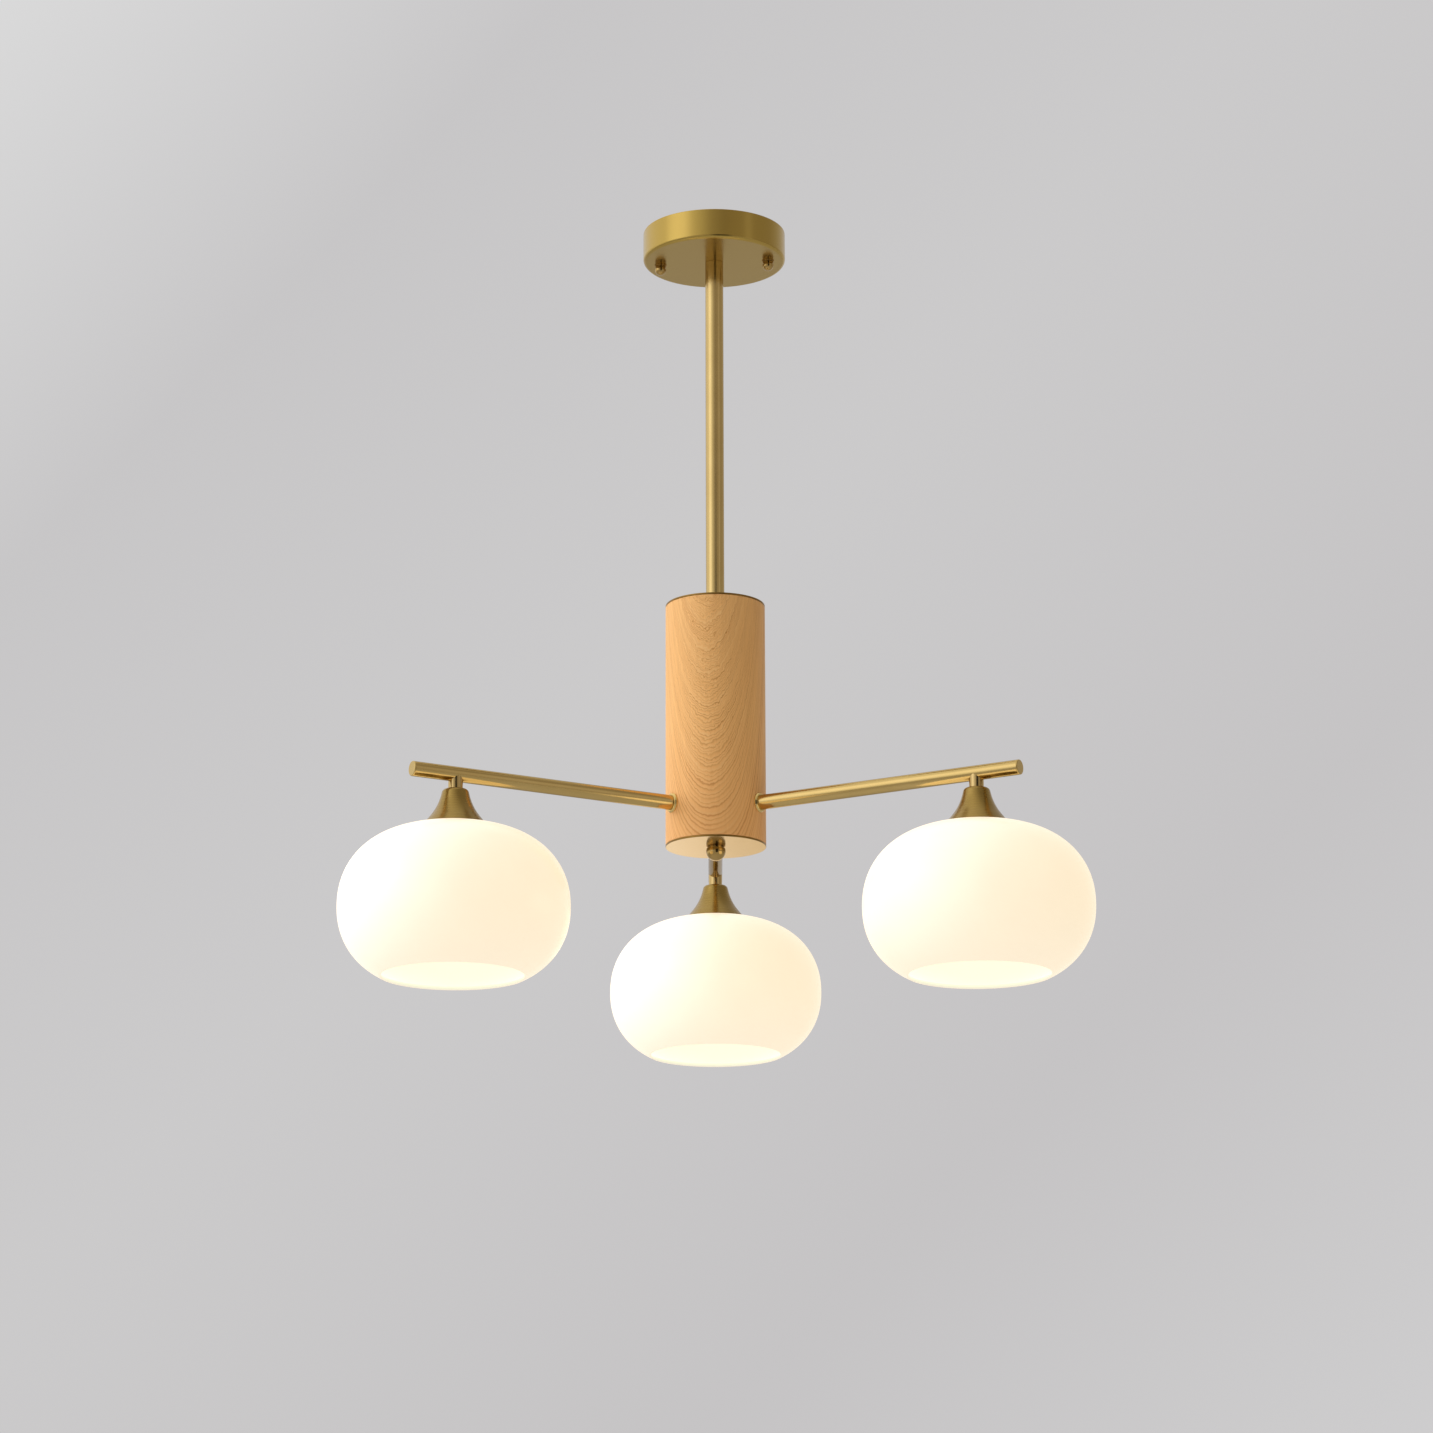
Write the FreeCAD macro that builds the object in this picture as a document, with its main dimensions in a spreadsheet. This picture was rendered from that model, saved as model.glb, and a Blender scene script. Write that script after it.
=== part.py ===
import FreeCAD, Part
import Sketcher
import math
import os
import types

# A ceiling light: a brass canopy and down rod carry a turned wooden column, and three horizontal
# brass tubes leave the column near its foot.  Each tube holds a conical brass cup, a lamp holder
# and a squashed opal glass globe that is open below.
# Millimetres, +Z up.  The origin is the centre of the mounting bar's top face, on the ceiling.

DIMENSIONS = {
    # canopy and the hardware under the ceiling
    "canopy_radius": 59.0,
    "canopy_height": 25.0,
    "canopy_wall": 1.5,
    "canopy_round": 3.0,
    "bar_length": 104.0,
    "bar_width": 16.0,
    "bar_thickness": 2.0,
    "bar_tab_width": 24.0,
    "bar_tab_reach": 34.0,
    "bar_turn": -6.5,
    "ceiling_hole_radius": 2.25,
    "ceiling_hole_place": 30.0,
    "bar_centre_hole": 6.0,
    "earth_screw_place": 16.0,
    "earth_screw_length": 9.0,
    "earth_screw_head_radius": 4.0,
    "earth_screw_head_height": 2.4,
    "screw_slot": 1.0,
    "stud_radius": 2.0,
    "stud_place": 45.0,
    "stud_thread_in_nut": 5.0,
    "cap_nut_radius": 4.7,
    "cap_nut_barrel": 3.0,
    "cap_nut_groove": 0.35,
    "cap_washer_thickness": 0.8,
    "terminal_block_depth": 14.0,
    "terminal_block_width": 18.0,
    "terminal_block_margin": 1.0,
    "terminal_spacing": 7.5,
    "terminal_well_radius": 2.2,
    "terminal_well_depth": 7.0,
    "terminal_well_place": 5.0,
    # hollow threaded tubes (M10) that join rod, column and lamp holders
    "nipple_radius": 5.0,
    "nipple_bore": 3.5,
    "nipple_hold": 3.5,
    "hanger_nipple_top": 14.0,
    "hanger_nipple_length": 38.0,
    "lock_nut_flats": 15.0,
    "lock_nut_thickness": 4.0,
    "bush_length": 15.0,
    # down rod and wooden column
    "rod_radius": 7.5,
    "rod_wall": 1.5,
    "rod_length": 297.5,
    "column_radius": 40.4,
    "column_length": 201.7,
    "column_plate": 1.5,
    "column_round": 0.4,
    "column_bore": 6.0,
    "column_pocket_radius": 19.0,
    "column_pocket_depth": 44.7,
    "hub_radius": 17.0,
    "hub_height": 24.0,
    "hub_chamber_radius": 9.0,
    "hub_floor": 7.0,
    "hub_roof": 7.0,
    "hub_arm_seat": 6.0,
    "set_screw_place": 13.5,
    # finial under the column
    "finial_rod_radius": 4.0,
    "finial_washer_radius": 6.5,
    "finial_washer_thickness": 0.85,
    "finial_ball_radius": 7.8,
    "finial_height": 11.0,
    "finial_rod_reach": 7.6,
    # arms
    "arm_first_turn": 210.0,
    "arm_step": 120.0,
    "arm_height": 32.1,
    "arm_radius": 6.0,
    "arm_wall": 1.5,
    "arm_reach": 271.4,
    "arm_start": 10.0,
    "arm_cap_thickness": 1.0,
    "arm_cap_plug": 6.0,
    "arm_cap_round": 0.8,
    "collar_foot_radius": 8.1,
    "collar_lip_radius": 7.2,
    "collar_start": 36.0,
    "collar_end": 42.3,
    "collar_bush_radius": 7.0,
    "collar_bush_start": 20.0,
    # lamps
    "lamp_reach": 233.5,
    "neck_radius": 5.75,
    "neck_drop": 12.2,
    "neck_saddle_depth": 1.4,
    "arm_entry_drop": 3.4,
    "arm_entry_depth": 5.0,
    "cup_height": 29.4,
    "cup_rim_radius": 25.6,
    "cup_waist_radius": 15.9,
    "cup_waist_height": 15.4,
    "cup_waist_round": 100.0,
    "cup_top_radius": 9.3,
    "cup_wall": 1.2,
    "cup_shoulder": 3.4,
    "cup_nut_flats": 13.0,
    "cup_nut_thickness": 3.0,
    "socket_gap": 6.2,
    "socket_height": 55.5,
    "socket_radius": 19.0,
    "socket_top_radius": 9.5,
    "socket_barrel": 38.0,
    "socket_mouth_radius": 14.2,
    "socket_mouth_depth": 32.0,
    "shell_bore": 13.16,
    "shell_length": 26.0,
    "shell_inset": 2.0,
    "contact_radius": 4.0,
    "contact_thickness": 1.2,
    "wire_radius": 1.5,
    "wire_bend": 5.0,
    "wire_start": 3.0,
    "cable_radius": 2.5,
    "cable_bend": 6.0,
    # glass globe, its gasket and the ring that holds it
    "globe_radius": 90.0,
    "globe_upper": 64.3,
    "globe_lower": 64.1,
    "globe_crown": 0.6,
    "globe_hole": 20.5,
    "globe_mouth": 56.6,
    "globe_wall": 3.0,
    "gasket_drop": 1.35,
    "gasket_radius": 27.0,
    "gasket_bore": 20.3,
    "gasket_thickness": 1.15,
    "ring_bore": 19.06,
    "ring_flange_radius": 28.0,
    "ring_flange_thickness": 2.6,
    "ring_collar_radius": 21.6,
    "ring_height": 9.0,
    "ring_round": 0.6,
    # lamp bulb
    "bulb_radius": 28.0,
    "bulb_wall": 1.0,
    "bulb_flank_angle": 25.3,
    "bulb_neck_radius": 12.4,
    "bulb_neck_length": 18.0,
    "bulb_shoulder": 38.0,
    "bulb_body_length": 72.3,
    "bulb_cap_radius": 13.1,
    "bulb_cap_length": 22.7,
    "bulb_cap_wall": 0.6,
    "bulb_cap_shoulder": 2.5,
    "bulb_insulator_radius": 9.0,
    "bulb_insulator_height": 2.2,
    "bulb_tip_radius": 4.5,
    "bulb_tip_height": 3.0,
    # clearances between pieces that turn on each other
    "screw_gap": 0.05,
    "bulb_tip_gap": 0.3,
    "hole_gap": 0.1,
    "bore_gap": 0.4,
}

# Exponents of the globe's outline, |r/a|^p + |z/b|^q = 1, above and below its widest ring.
UPPER_EXPONENTS = (2.68, 2.14)
LOWER_EXPONENTS = (2.56, 2.19)
ARCS_PER_HALF = 4

document = FreeCAD.newDocument("chandelier")
sheet = document.addObject("Spreadsheet::Sheet", "dims")
sub_parts = []


class Size:
    """A number together with the spreadsheet formula that it comes from."""

    def __init__(self, value, formula):
        self.value = value
        self.formula = formula

    def __add__(self, other):
        other = size(other)
        return Size(self.value + other.value, f"({self.formula} + {other.formula})")

    def __sub__(self, other):
        other = size(other)
        return Size(self.value - other.value, f"({self.formula} - {other.formula})")

    def __mul__(self, other):
        other = size(other)
        return Size(self.value * other.value, f"({self.formula} * {other.formula})")

    def __truediv__(self, other):
        other = size(other)
        return Size(self.value / other.value, f"({self.formula} / {other.formula})")

    def __neg__(self):
        return Size(-self.value, f"(-1 * {self.formula})")


def size(number):
    return number if isinstance(number, Size) else Size(float(number), str(number))


def cosine(angle):
    return Size(math.cos(math.radians(angle.value)), f"cos({angle.formula})")


def sine(angle):
    return Size(math.sin(math.radians(angle.value)), f"sin({angle.formula})")


def fill_sheet():
    """Puts each driving dimension in its own cell and returns them by name."""
    sizes = {}
    for row, (alias, number) in enumerate(DIMENSIONS.items(), start=1):
        sheet.set(f"A{row}", alias)
        sheet.set(f"B{row}", str(number))
        sheet.setAlias(f"B{row}", alias)
        sizes[alias] = Size(number, f"dims.{alias}")
    document.recompute()
    return types.SimpleNamespace(**sizes)


dim = fill_sheet()

# Levels, measured from the ceiling.
CANOPY_FLOOR = -dim.canopy_height
TERMINAL_FACE = dim.bar_tab_reach - dim.terminal_block_width - dim.terminal_block_margin
COLUMN_TOP = CANOPY_FLOOR - dim.rod_length
COLUMN_BOTTOM = COLUMN_TOP - dim.column_length
WOOD_TOP = COLUMN_TOP - dim.column_plate
WOOD_BOTTOM = COLUMN_BOTTOM + dim.column_plate
ARM_LEVEL = COLUMN_BOTTOM + dim.arm_height
HUB_BOTTOM = ARM_LEVEL - dim.hub_height * 0.5
HUB_TOP = HUB_BOTTOM + dim.hub_height
CUP_TOP = ARM_LEVEL - dim.neck_drop
CUP_RIM = CUP_TOP - dim.cup_height
NIPPLE_TOP = ARM_LEVEL - dim.arm_entry_drop
SOCKET_TOP = CUP_TOP - dim.socket_gap
SOCKET_BOTTOM = SOCKET_TOP - dim.socket_height
SOCKET_FLOOR = SOCKET_BOTTOM + dim.socket_mouth_depth
GLOBE_CENTRE = CUP_RIM + dim.globe_crown - dim.globe_upper
GASKET_TOP = GLOBE_CENTRE + dim.globe_upper - dim.globe_wall - dim.gasket_drop
RING_TOP = GASKET_TOP - dim.gasket_thickness - dim.screw_gap
BULB_TIP = SOCKET_FLOOR - dim.contact_thickness - dim.bulb_tip_gap
BULB_CAP_TOP = BULB_TIP - dim.bulb_tip_height
BULB_CAP_BOTTOM = BULB_CAP_TOP - dim.bulb_cap_length
BULB_BOTTOM = BULB_CAP_BOTTOM - dim.bulb_body_length
ARM_BORE = dim.arm_radius - dim.arm_wall
ROD_BORE = dim.rod_radius - dim.rod_wall
LAMPS = (1, 2, 3)


def arm_turn(lamp):
    return dim.arm_first_turn + dim.arm_step * (lamp - 1)


def place(thing, along_x=0, along_y=0, along_z=0, turn=0):
    """Moves a finished object and turns it about the vertical."""
    x, y, z, turn = size(along_x), size(along_y), size(along_z), size(turn)
    base = f"vector({x.formula}; {y.formula}; {z.formula})"
    thing.setExpression("Placement", f"placement({base}; rotation(vector(0; 0; 1); {turn.formula}))")
    return thing


def over_lamp(thing, lamp, level):
    """Places an upright turned piece on a lamp's axis."""
    turn = arm_turn(lamp)
    return place(thing, dim.lamp_reach * cosine(turn), dim.lamp_reach * sine(turn), level)


def keep(thing, label):
    """Marks an object as a sub-part and names it."""
    thing.Label = label
    sub_parts.append(thing)
    return thing


# ---- Part primitives ------------------------------------------------------------------------

def cylinder(radius, height, x=0, y=0, z=0):
    """An upright cylinder that stands on z."""
    thing = document.addObject("Part::Cylinder", "cylinder")
    thing.setExpression("Radius", size(radius).formula)
    thing.setExpression("Height", size(height).formula)
    return place(thing, x, y, z)


def lying_cylinder(radius, start, end, z, turn=0):
    """A level cylinder that runs outward from start to end, in a given direction."""
    thing = document.addObject("Part::Cylinder", "lying_cylinder")
    thing.setExpression("Radius", size(radius).formula)
    thing.setExpression("Height", (size(end) - start).formula)
    return point_outward(thing, start, z, turn)


def point_outward(thing, start, level, turn=0):
    """Lays a piece made along +Z on its side, pointing away from the main axis."""
    start, level, turn = size(start), size(level), size(turn)
    x, y = start * cosine(turn), start * sine(turn)
    base = f"vector({x.formula}; {y.formula}; {level.formula})"
    thing.setExpression("Placement", f"placement({base}; rotation({turn.formula}; 90; 0))")
    return thing


def cone(low_radius, high_radius, height, z=0):
    thing = document.addObject("Part::Cone", "cone")
    thing.setExpression("Radius1", size(low_radius).formula)
    thing.setExpression("Radius2", size(high_radius).formula)
    thing.setExpression("Height", size(height).formula)
    return place(thing, 0, 0, z)


def sphere(radius, z=0):
    thing = document.addObject("Part::Sphere", "sphere")
    thing.setExpression("Radius", size(radius).formula)
    return place(thing, 0, 0, z)


def box(length, width, height, x, y, z):
    thing = document.addObject("Part::Box", "box")
    thing.setExpression("Length", size(length).formula)
    thing.setExpression("Width", size(width).formula)
    thing.setExpression("Height", size(height).formula)
    return place(thing, x, y, z)


def hexagon(flats, height, z=0):
    """A hexagonal prism of a given width across its flats."""
    thing = document.addObject("Part::Prism", "hexagon")
    thing.Polygon = 6
    thing.setExpression("Circumradius", f"{size(flats).formula} / 2 / cos(30)")
    thing.setExpression("Height", size(height).formula)
    return place(thing, 0, 0, z)


def quarter_bend(radius, bend):
    """A quarter of a torus about Z: from (bend, 0, 0) to (0, bend, 0)."""
    thing = document.addObject("Part::Torus", "bend")
    thing.setExpression("Radius1", size(bend).formula)
    thing.setExpression("Radius2", size(radius).formula)
    thing.Angle3 = 90
    return thing


def fuse(*things):
    result = document.addObject("Part::MultiFuse", "fuse")
    result.Shapes = list(things)
    return result


def cut(base, *tools):
    result = document.addObject("Part::Cut", "cut")
    result.Base = base
    result.Tool = tools[0] if len(tools) == 1 else fuse(*tools)
    return result


def group(label, things):
    """Identical pieces that share one node as separate solids."""
    result = document.addObject("Part::Compound", label)
    result.Links = things
    return keep(result, label)


def tube(outer, inner, height, z=0):
    return cut(cylinder(outer, height, 0, 0, z), cylinder(inner, height, 0, 0, z))


# ---- PartDesign bodies ----------------------------------------------------------------------

def origin_plane(body, role):
    return next(plane for plane in body.Origin.OriginFeatures if plane.Role == role)


def turned(name, outline, rounds=()):
    """A body turned about Z from a closed outline of (radius, height) corners.

    rounds lists (corner number, radius) for the corners that are rounded off.
    """
    body = document.addObject("PartDesign::Body", name)
    sketch = body.newObject("Sketcher::SketchObject", f"{name}_outline")
    sketch.AttachmentSupport = [(origin_plane(body, "XZ_Plane"), "")]
    sketch.MapMode = "FlatFace"
    corners = [(size(radius), size(height)) for radius, height in outline]
    points = [FreeCAD.Vector(radius.value, height.value, 0) for radius, height in corners]
    for number, point in enumerate(points):
        end = points[(number + 1) % len(points)]
        sketch.addGeometry(Part.LineSegment(point, end), False)
    for number, (radius, height) in enumerate(corners):
        follower = (number + 1) % len(corners)
        sketch.addConstraint(Sketcher.Constraint("Coincident", number, 2, follower, 1))
        bind_corner(sketch, number, "DistanceX", radius, -2)
        bind_corner(sketch, number, "DistanceY", height, -1)
    revolution = body.newObject("PartDesign::Revolution", f"{name}_turned")
    revolution.Profile = sketch
    revolution.ReferenceAxis = (sketch, ["V_Axis"])
    revolution.Angle = 360
    sketch.Visibility = False
    document.recompute()
    for corner, radius in rounds:
        round_corner(body, corners[corner], size(radius))
    return body


def bind_corner(sketch, number, kind, distance, axis):
    """Ties one coordinate of a corner to its formula, or to the axis where it is nought."""
    if abs(distance.value) < 1e-9:
        sketch.addConstraint(Sketcher.Constraint("PointOnObject", number, 1, axis))
        return
    index = sketch.addConstraint(Sketcher.Constraint(kind, -1, 1, number, 1, distance.value))
    sketch.setExpression(f"Constraints[{index}]", distance.formula)


def round_corner(body, corner, radius):
    """Rounds the circular edge that one corner of the outline made."""
    where = (corner[0].value, corner[1].value)
    tip = body.Tip
    names = []
    for number, edge in enumerate(tip.Shape.Edges, start=1):
        curve = edge.Curve
        if isinstance(curve, Part.Circle):
            if math.dist((curve.Radius, curve.Center.z), where) < 1e-4:
                names.append(f"Edge{number}")
    fillet = body.newObject("PartDesign::Fillet", f"{body.Name}_round")
    fillet.Base = (tip, names)
    fillet.setExpression("Radius", radius.formula)
    body.Tip = fillet
    document.recompute()


def drill(body, name, places, radius):
    """Drills round holes upward through a body from its XY plane."""
    sketch = body.newObject("Sketcher::SketchObject", f"{name}_circles")
    sketch.AttachmentSupport = [(origin_plane(body, "XY_Plane"), "")]
    sketch.MapMode = "FlatFace"
    for number, (along, side) in enumerate(places):
        centre = FreeCAD.Vector(side * along.value, 0, 0)
        sketch.addGeometry(Part.Circle(centre, FreeCAD.Vector(0, 0, 1), radius.value), False)
        sketch.addConstraint(Sketcher.Constraint("PointOnObject", number, 3, -1))
        span = (-1, 1, number, 3) if side > 0 else (number, 3, -1, 1)
        index = sketch.addConstraint(Sketcher.Constraint("DistanceX", *span, along.value))
        sketch.setExpression(f"Constraints[{index}]", along.formula)
        index = sketch.addConstraint(Sketcher.Constraint("Radius", number, radius.value))
        sketch.setExpression(f"Constraints[{index}]", radius.formula)
    before = body.Shape.Volume
    pocket = body.newObject("PartDesign::Pocket", name)
    pocket.Profile = sketch
    pocket.Type = "ThroughAll"
    pocket.Midplane = True
    sketch.Visibility = False
    document.recompute()
    if body.Shape.Volume >= before - 1.0:
        raise RuntimeError(f"{name} removed nothing")


def washer(name, outer, inner, thickness):
    return turned(name, [(inner, 0), (outer, 0), (outer, thickness), (inner, thickness)])


# ---- Under the ceiling ----------------------------------------------------------------------

def mounting_bar():
    """A flat steel bar with a side tab for the terminal block."""
    low = -dim.bar_thickness
    bar = box(dim.bar_length, dim.bar_width, dim.bar_thickness,
              dim.bar_length * -0.5, dim.bar_width * -0.5, low)
    tab = box(dim.bar_tab_width, dim.bar_tab_reach, dim.bar_thickness,
              dim.bar_tab_width * -0.5, 0, low)
    holes = [cylinder(dim.bar_centre_hole, dim.bar_thickness, 0, 0, low),
             cylinder(dim.stud_radius, dim.bar_thickness, dim.earth_screw_place, 0, low)]
    for side in (-1, 1):
        holes.append(cylinder(dim.ceiling_hole_radius, dim.bar_thickness,
                              dim.ceiling_hole_place * side, 0, low))
        holes.append(cylinder(dim.stud_radius, dim.bar_thickness, dim.stud_place * side, 0, low))
    keep(place(cut(fuse(bar, tab), *holes), turn=dim.bar_turn), "mounting_bar")


def bar_studs():
    length = dim.canopy_height + dim.cap_washer_thickness + dim.stud_thread_in_nut
    studs = [cylinder(dim.stud_radius, length, dim.stud_place * side, 0, -length)
             for side in (-1, 1)]
    place(group("bar_studs", studs), turn=dim.bar_turn)


def earth_screw():
    """A slotted screw whose head sits under the bar and whose end stands below it."""
    x, slot, length = dim.earth_screw_place, dim.screw_slot, dim.earth_screw_length
    head_radius, head_height = dim.earth_screw_head_radius, dim.earth_screw_head_height
    shank = cylinder(dim.stud_radius, length, x, 0, -length)
    head = cylinder(head_radius, head_height, x, 0, -dim.bar_thickness - head_height)
    groove = box(head_radius * 2, slot, slot, x - head_radius, slot * -0.5, -length)
    keep(place(cut(fuse(shank, head), groove), turn=dim.bar_turn), "earth_screw")


def terminal_block():
    """A three-way block under the tab, with a screw well for each way."""
    low = -dim.bar_thickness - dim.terminal_block_depth
    near = TERMINAL_FACE
    block = box(dim.bar_tab_width, dim.terminal_block_width, dim.terminal_block_depth,
                dim.bar_tab_width * -0.5, near, low)
    wells = [cylinder(dim.terminal_well_radius, dim.terminal_well_depth,
                      dim.terminal_spacing * way, near + dim.terminal_well_place, low)
             for way in (-1, 0, 1)]
    keep(place(cut(block, *wells), turn=dim.bar_turn), "terminal_block")


def canopy():
    outer, wall = dim.canopy_radius, dim.canopy_wall
    hole = dim.nipple_radius + dim.hole_gap
    outline = [(hole, 0), (outer, 0), (outer, dim.canopy_height),
               (outer - wall, dim.canopy_height), (outer - wall, wall), (hole, wall)]
    body = turned("canopy", outline, [(1, dim.canopy_round), (4, dim.canopy_round - wall)])
    places = [(dim.stud_place, -1), (dim.stud_place, 1)]
    drill(body, "stud_holes", places, dim.stud_radius + dim.hole_gap * 2)
    keep(place(body, along_z=CANOPY_FLOOR, turn=dim.bar_turn), "canopy")


def cap_nut_sets():
    """Each domed nut screws onto a stud and presses a washer on the canopy."""
    for side, word in ((-1, "left"), (1, "right")):
        turn = dim.bar_turn
        x = dim.stud_place * cosine(turn) * side
        y = dim.stud_place * sine(turn) * side
        top = CANOPY_FLOOR - dim.screw_gap
        ring = washer(f"cap_washer_{word}", dim.cap_nut_radius + dim.cap_nut_groove,
                      dim.stud_radius + dim.screw_gap, dim.cap_washer_thickness)
        keep(place(ring, x, y, top - dim.cap_washer_thickness), f"cap_washer_{word}")
        groove = document.addObject("Part::Torus", "groove")
        groove.setExpression("Radius1", dim.cap_nut_radius.formula)
        groove.setExpression("Radius2", dim.cap_nut_groove.formula)
        place(groove, along_z=-dim.cap_nut_barrel)
        barrel = cylinder(dim.cap_nut_radius, dim.cap_nut_barrel, 0, 0, -dim.cap_nut_barrel)
        dome = sphere(dim.cap_nut_radius, -dim.cap_nut_barrel)
        lid = cylinder(dim.cap_nut_radius * 2, dim.cap_nut_radius * 2)
        depth = dim.stud_thread_in_nut + dim.bore_gap
        bore = cylinder(dim.stud_radius + dim.screw_gap, depth, 0, 0, -depth)
        nut = cut(fuse(barrel, dome), groove, lid, bore)
        keep(place(nut, x, y, top - dim.cap_washer_thickness - dim.screw_gap), f"cap_nut_{word}")


def hanger():
    """The threaded tube and nut that hold the rod to the canopy."""
    low = -dim.hanger_nipple_top - dim.hanger_nipple_length
    nipple = tube(dim.nipple_radius, dim.nipple_bore, dim.hanger_nipple_length, low)
    keep(nipple, "hanger_nipple")
    floor = CANOPY_FLOOR + dim.canopy_wall
    nut = cut(hexagon(dim.lock_nut_flats, dim.lock_nut_thickness, floor),
              cylinder(dim.nipple_radius, dim.lock_nut_thickness, 0, 0, floor))
    keep(nut, "hanger_lock_nut")


def supply_cable():
    """From the terminal block, over a bend and down to the hub's chamber."""
    bend = dim.cable_bend
    level = -dim.hanger_nipple_top + bend
    end = ARM_LEVEL + dim.wire_radius * 1.4
    drop = cylinder(dim.cable_radius, -dim.hanger_nipple_top - end, 0, 0, end)
    corner = quarter_bend(dim.cable_radius, bend)
    corner.setExpression("Placement", f"placement(vector(0; {bend.formula}; "
                         f"-1 * {dim.hanger_nipple_top.formula}); rotation(-90; 0; 90))")
    reach = document.addObject("Part::Cylinder", "reach")
    reach.setExpression("Radius", dim.cable_radius.formula)
    reach.setExpression("Height", (TERMINAL_FACE - bend).formula)
    reach.setExpression("Placement", f"placement(vector(0; {bend.formula}; {level.formula}); "
                        "rotation(vector(1; 0; 0); -90))")
    keep(place(fuse(drop, corner, reach), turn=dim.bar_turn), "supply_cable")


# ---- Rod and column -------------------------------------------------------------------------

def down_rod():
    keep(tube(dim.rod_radius, ROD_BORE, dim.rod_length, COLUMN_TOP), "down_rod")
    bushes = [tube(ROD_BORE, dim.nipple_radius, dim.bush_length, low)
              for low in (CANOPY_FLOOR - dim.bush_length, COLUMN_TOP)]
    group("rod_bushes", bushes)


def column():
    """The turned wood, its two brass plates and the tube that hangs the hub."""
    top = washer("column_top_plate", dim.column_radius, dim.nipple_radius, dim.column_plate)
    keep(place(top, along_z=WOOD_TOP), "column_top_plate")
    bottom = washer("column_bottom_plate", dim.column_radius,
                    dim.finial_rod_radius + dim.screw_gap * 4, dim.column_plate)
    keep(place(bottom, along_z=COLUMN_BOTTOM), "column_bottom_plate")
    length = dim.column_length - dim.column_plate * 2
    outer, pocket, depth = dim.column_radius, dim.column_pocket_radius, dim.column_pocket_depth
    outline = [(pocket, 0), (outer, 0), (outer, length), (dim.column_bore, length),
               (dim.column_bore, depth), (pocket, depth)]
    wood = turned("column_blank", outline, [(1, dim.column_round), (2, dim.column_round)])
    place(wood, along_z=WOOD_BOTTOM)
    holes = [lying_cylinder(dim.collar_bush_radius, dim.arm_start, outer * 1.1, ARM_LEVEL,
                            arm_turn(lamp)) for lamp in LAMPS]
    keep(cut(wood, *holes), "wood_column")
    top_end = COLUMN_TOP + dim.bush_length * 0.8
    low_end = HUB_TOP - dim.hub_roof
    nipple = tube(dim.nipple_radius, dim.nipple_bore, top_end - low_end, low_end)
    keep(nipple, "column_nipple")


def arm_hub():
    """A brass block that the three arms screw into, with a chamber for the joints."""
    floor, chamber = dim.hub_floor, dim.hub_chamber_radius
    roof = dim.hub_height - dim.hub_roof
    outline = [(dim.finial_rod_radius, 0), (dim.hub_radius, 0), (dim.hub_radius, dim.hub_height),
               (dim.nipple_radius, dim.hub_height), (dim.nipple_radius, roof), (chamber, roof),
               (chamber, floor), (dim.finial_rod_radius, floor)]
    block = place(turned("hub_blank", outline), along_z=HUB_BOTTOM)
    tools, screws = [], []
    for lamp in LAMPS:
        turn = arm_turn(lamp)
        tools.append(lying_cylinder(dim.arm_radius, dim.hub_arm_seat, dim.hub_radius * 1.1,
                                    ARM_LEVEL, turn))
        tools.append(set_screw(turn))
        screws.append(set_screw(turn))
    keep(cut(block, *tools), "arm_hub")
    group("hub_set_screws", screws)


def set_screw(turn):
    """A grub screw that bears on an arm from below."""
    length = ARM_LEVEL - dim.arm_radius - HUB_BOTTOM
    x, y = dim.set_screw_place * cosine(turn), dim.set_screw_place * sine(turn)
    return cylinder(dim.stud_radius, length, x, y, HUB_BOTTOM)


def finial():
    """The ball nut under the column, its washer and the rod that it screws onto."""
    washer_top = COLUMN_BOTTOM - dim.screw_gap
    nut_top = washer_top - dim.finial_washer_thickness - dim.screw_gap
    centre = COLUMN_BOTTOM - dim.finial_height + dim.finial_ball_radius
    rod_top = HUB_BOTTOM + dim.hub_floor
    rod_end = COLUMN_BOTTOM - dim.finial_rod_reach
    rod = cylinder(dim.finial_rod_radius, rod_top - rod_end, 0, 0, rod_end)
    keep(rod, "finial_rod")
    ring = washer("finial_washer", dim.finial_washer_radius,
                  dim.finial_rod_radius + dim.screw_gap, dim.finial_washer_thickness)
    keep(place(ring, along_z=washer_top - dim.finial_washer_thickness), "finial_washer")
    ball = sphere(dim.finial_ball_radius, centre)
    above = cylinder(dim.finial_ball_radius * 2, dim.finial_ball_radius * 2, 0, 0, nut_top)
    bore = cylinder(dim.finial_rod_radius + dim.screw_gap, dim.finial_height, 0, 0,
                    rod_end - dim.bore_gap)
    keep(cut(ball, above, bore), "finial_nut")


# ---- Arms -----------------------------------------------------------------------------------

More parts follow.
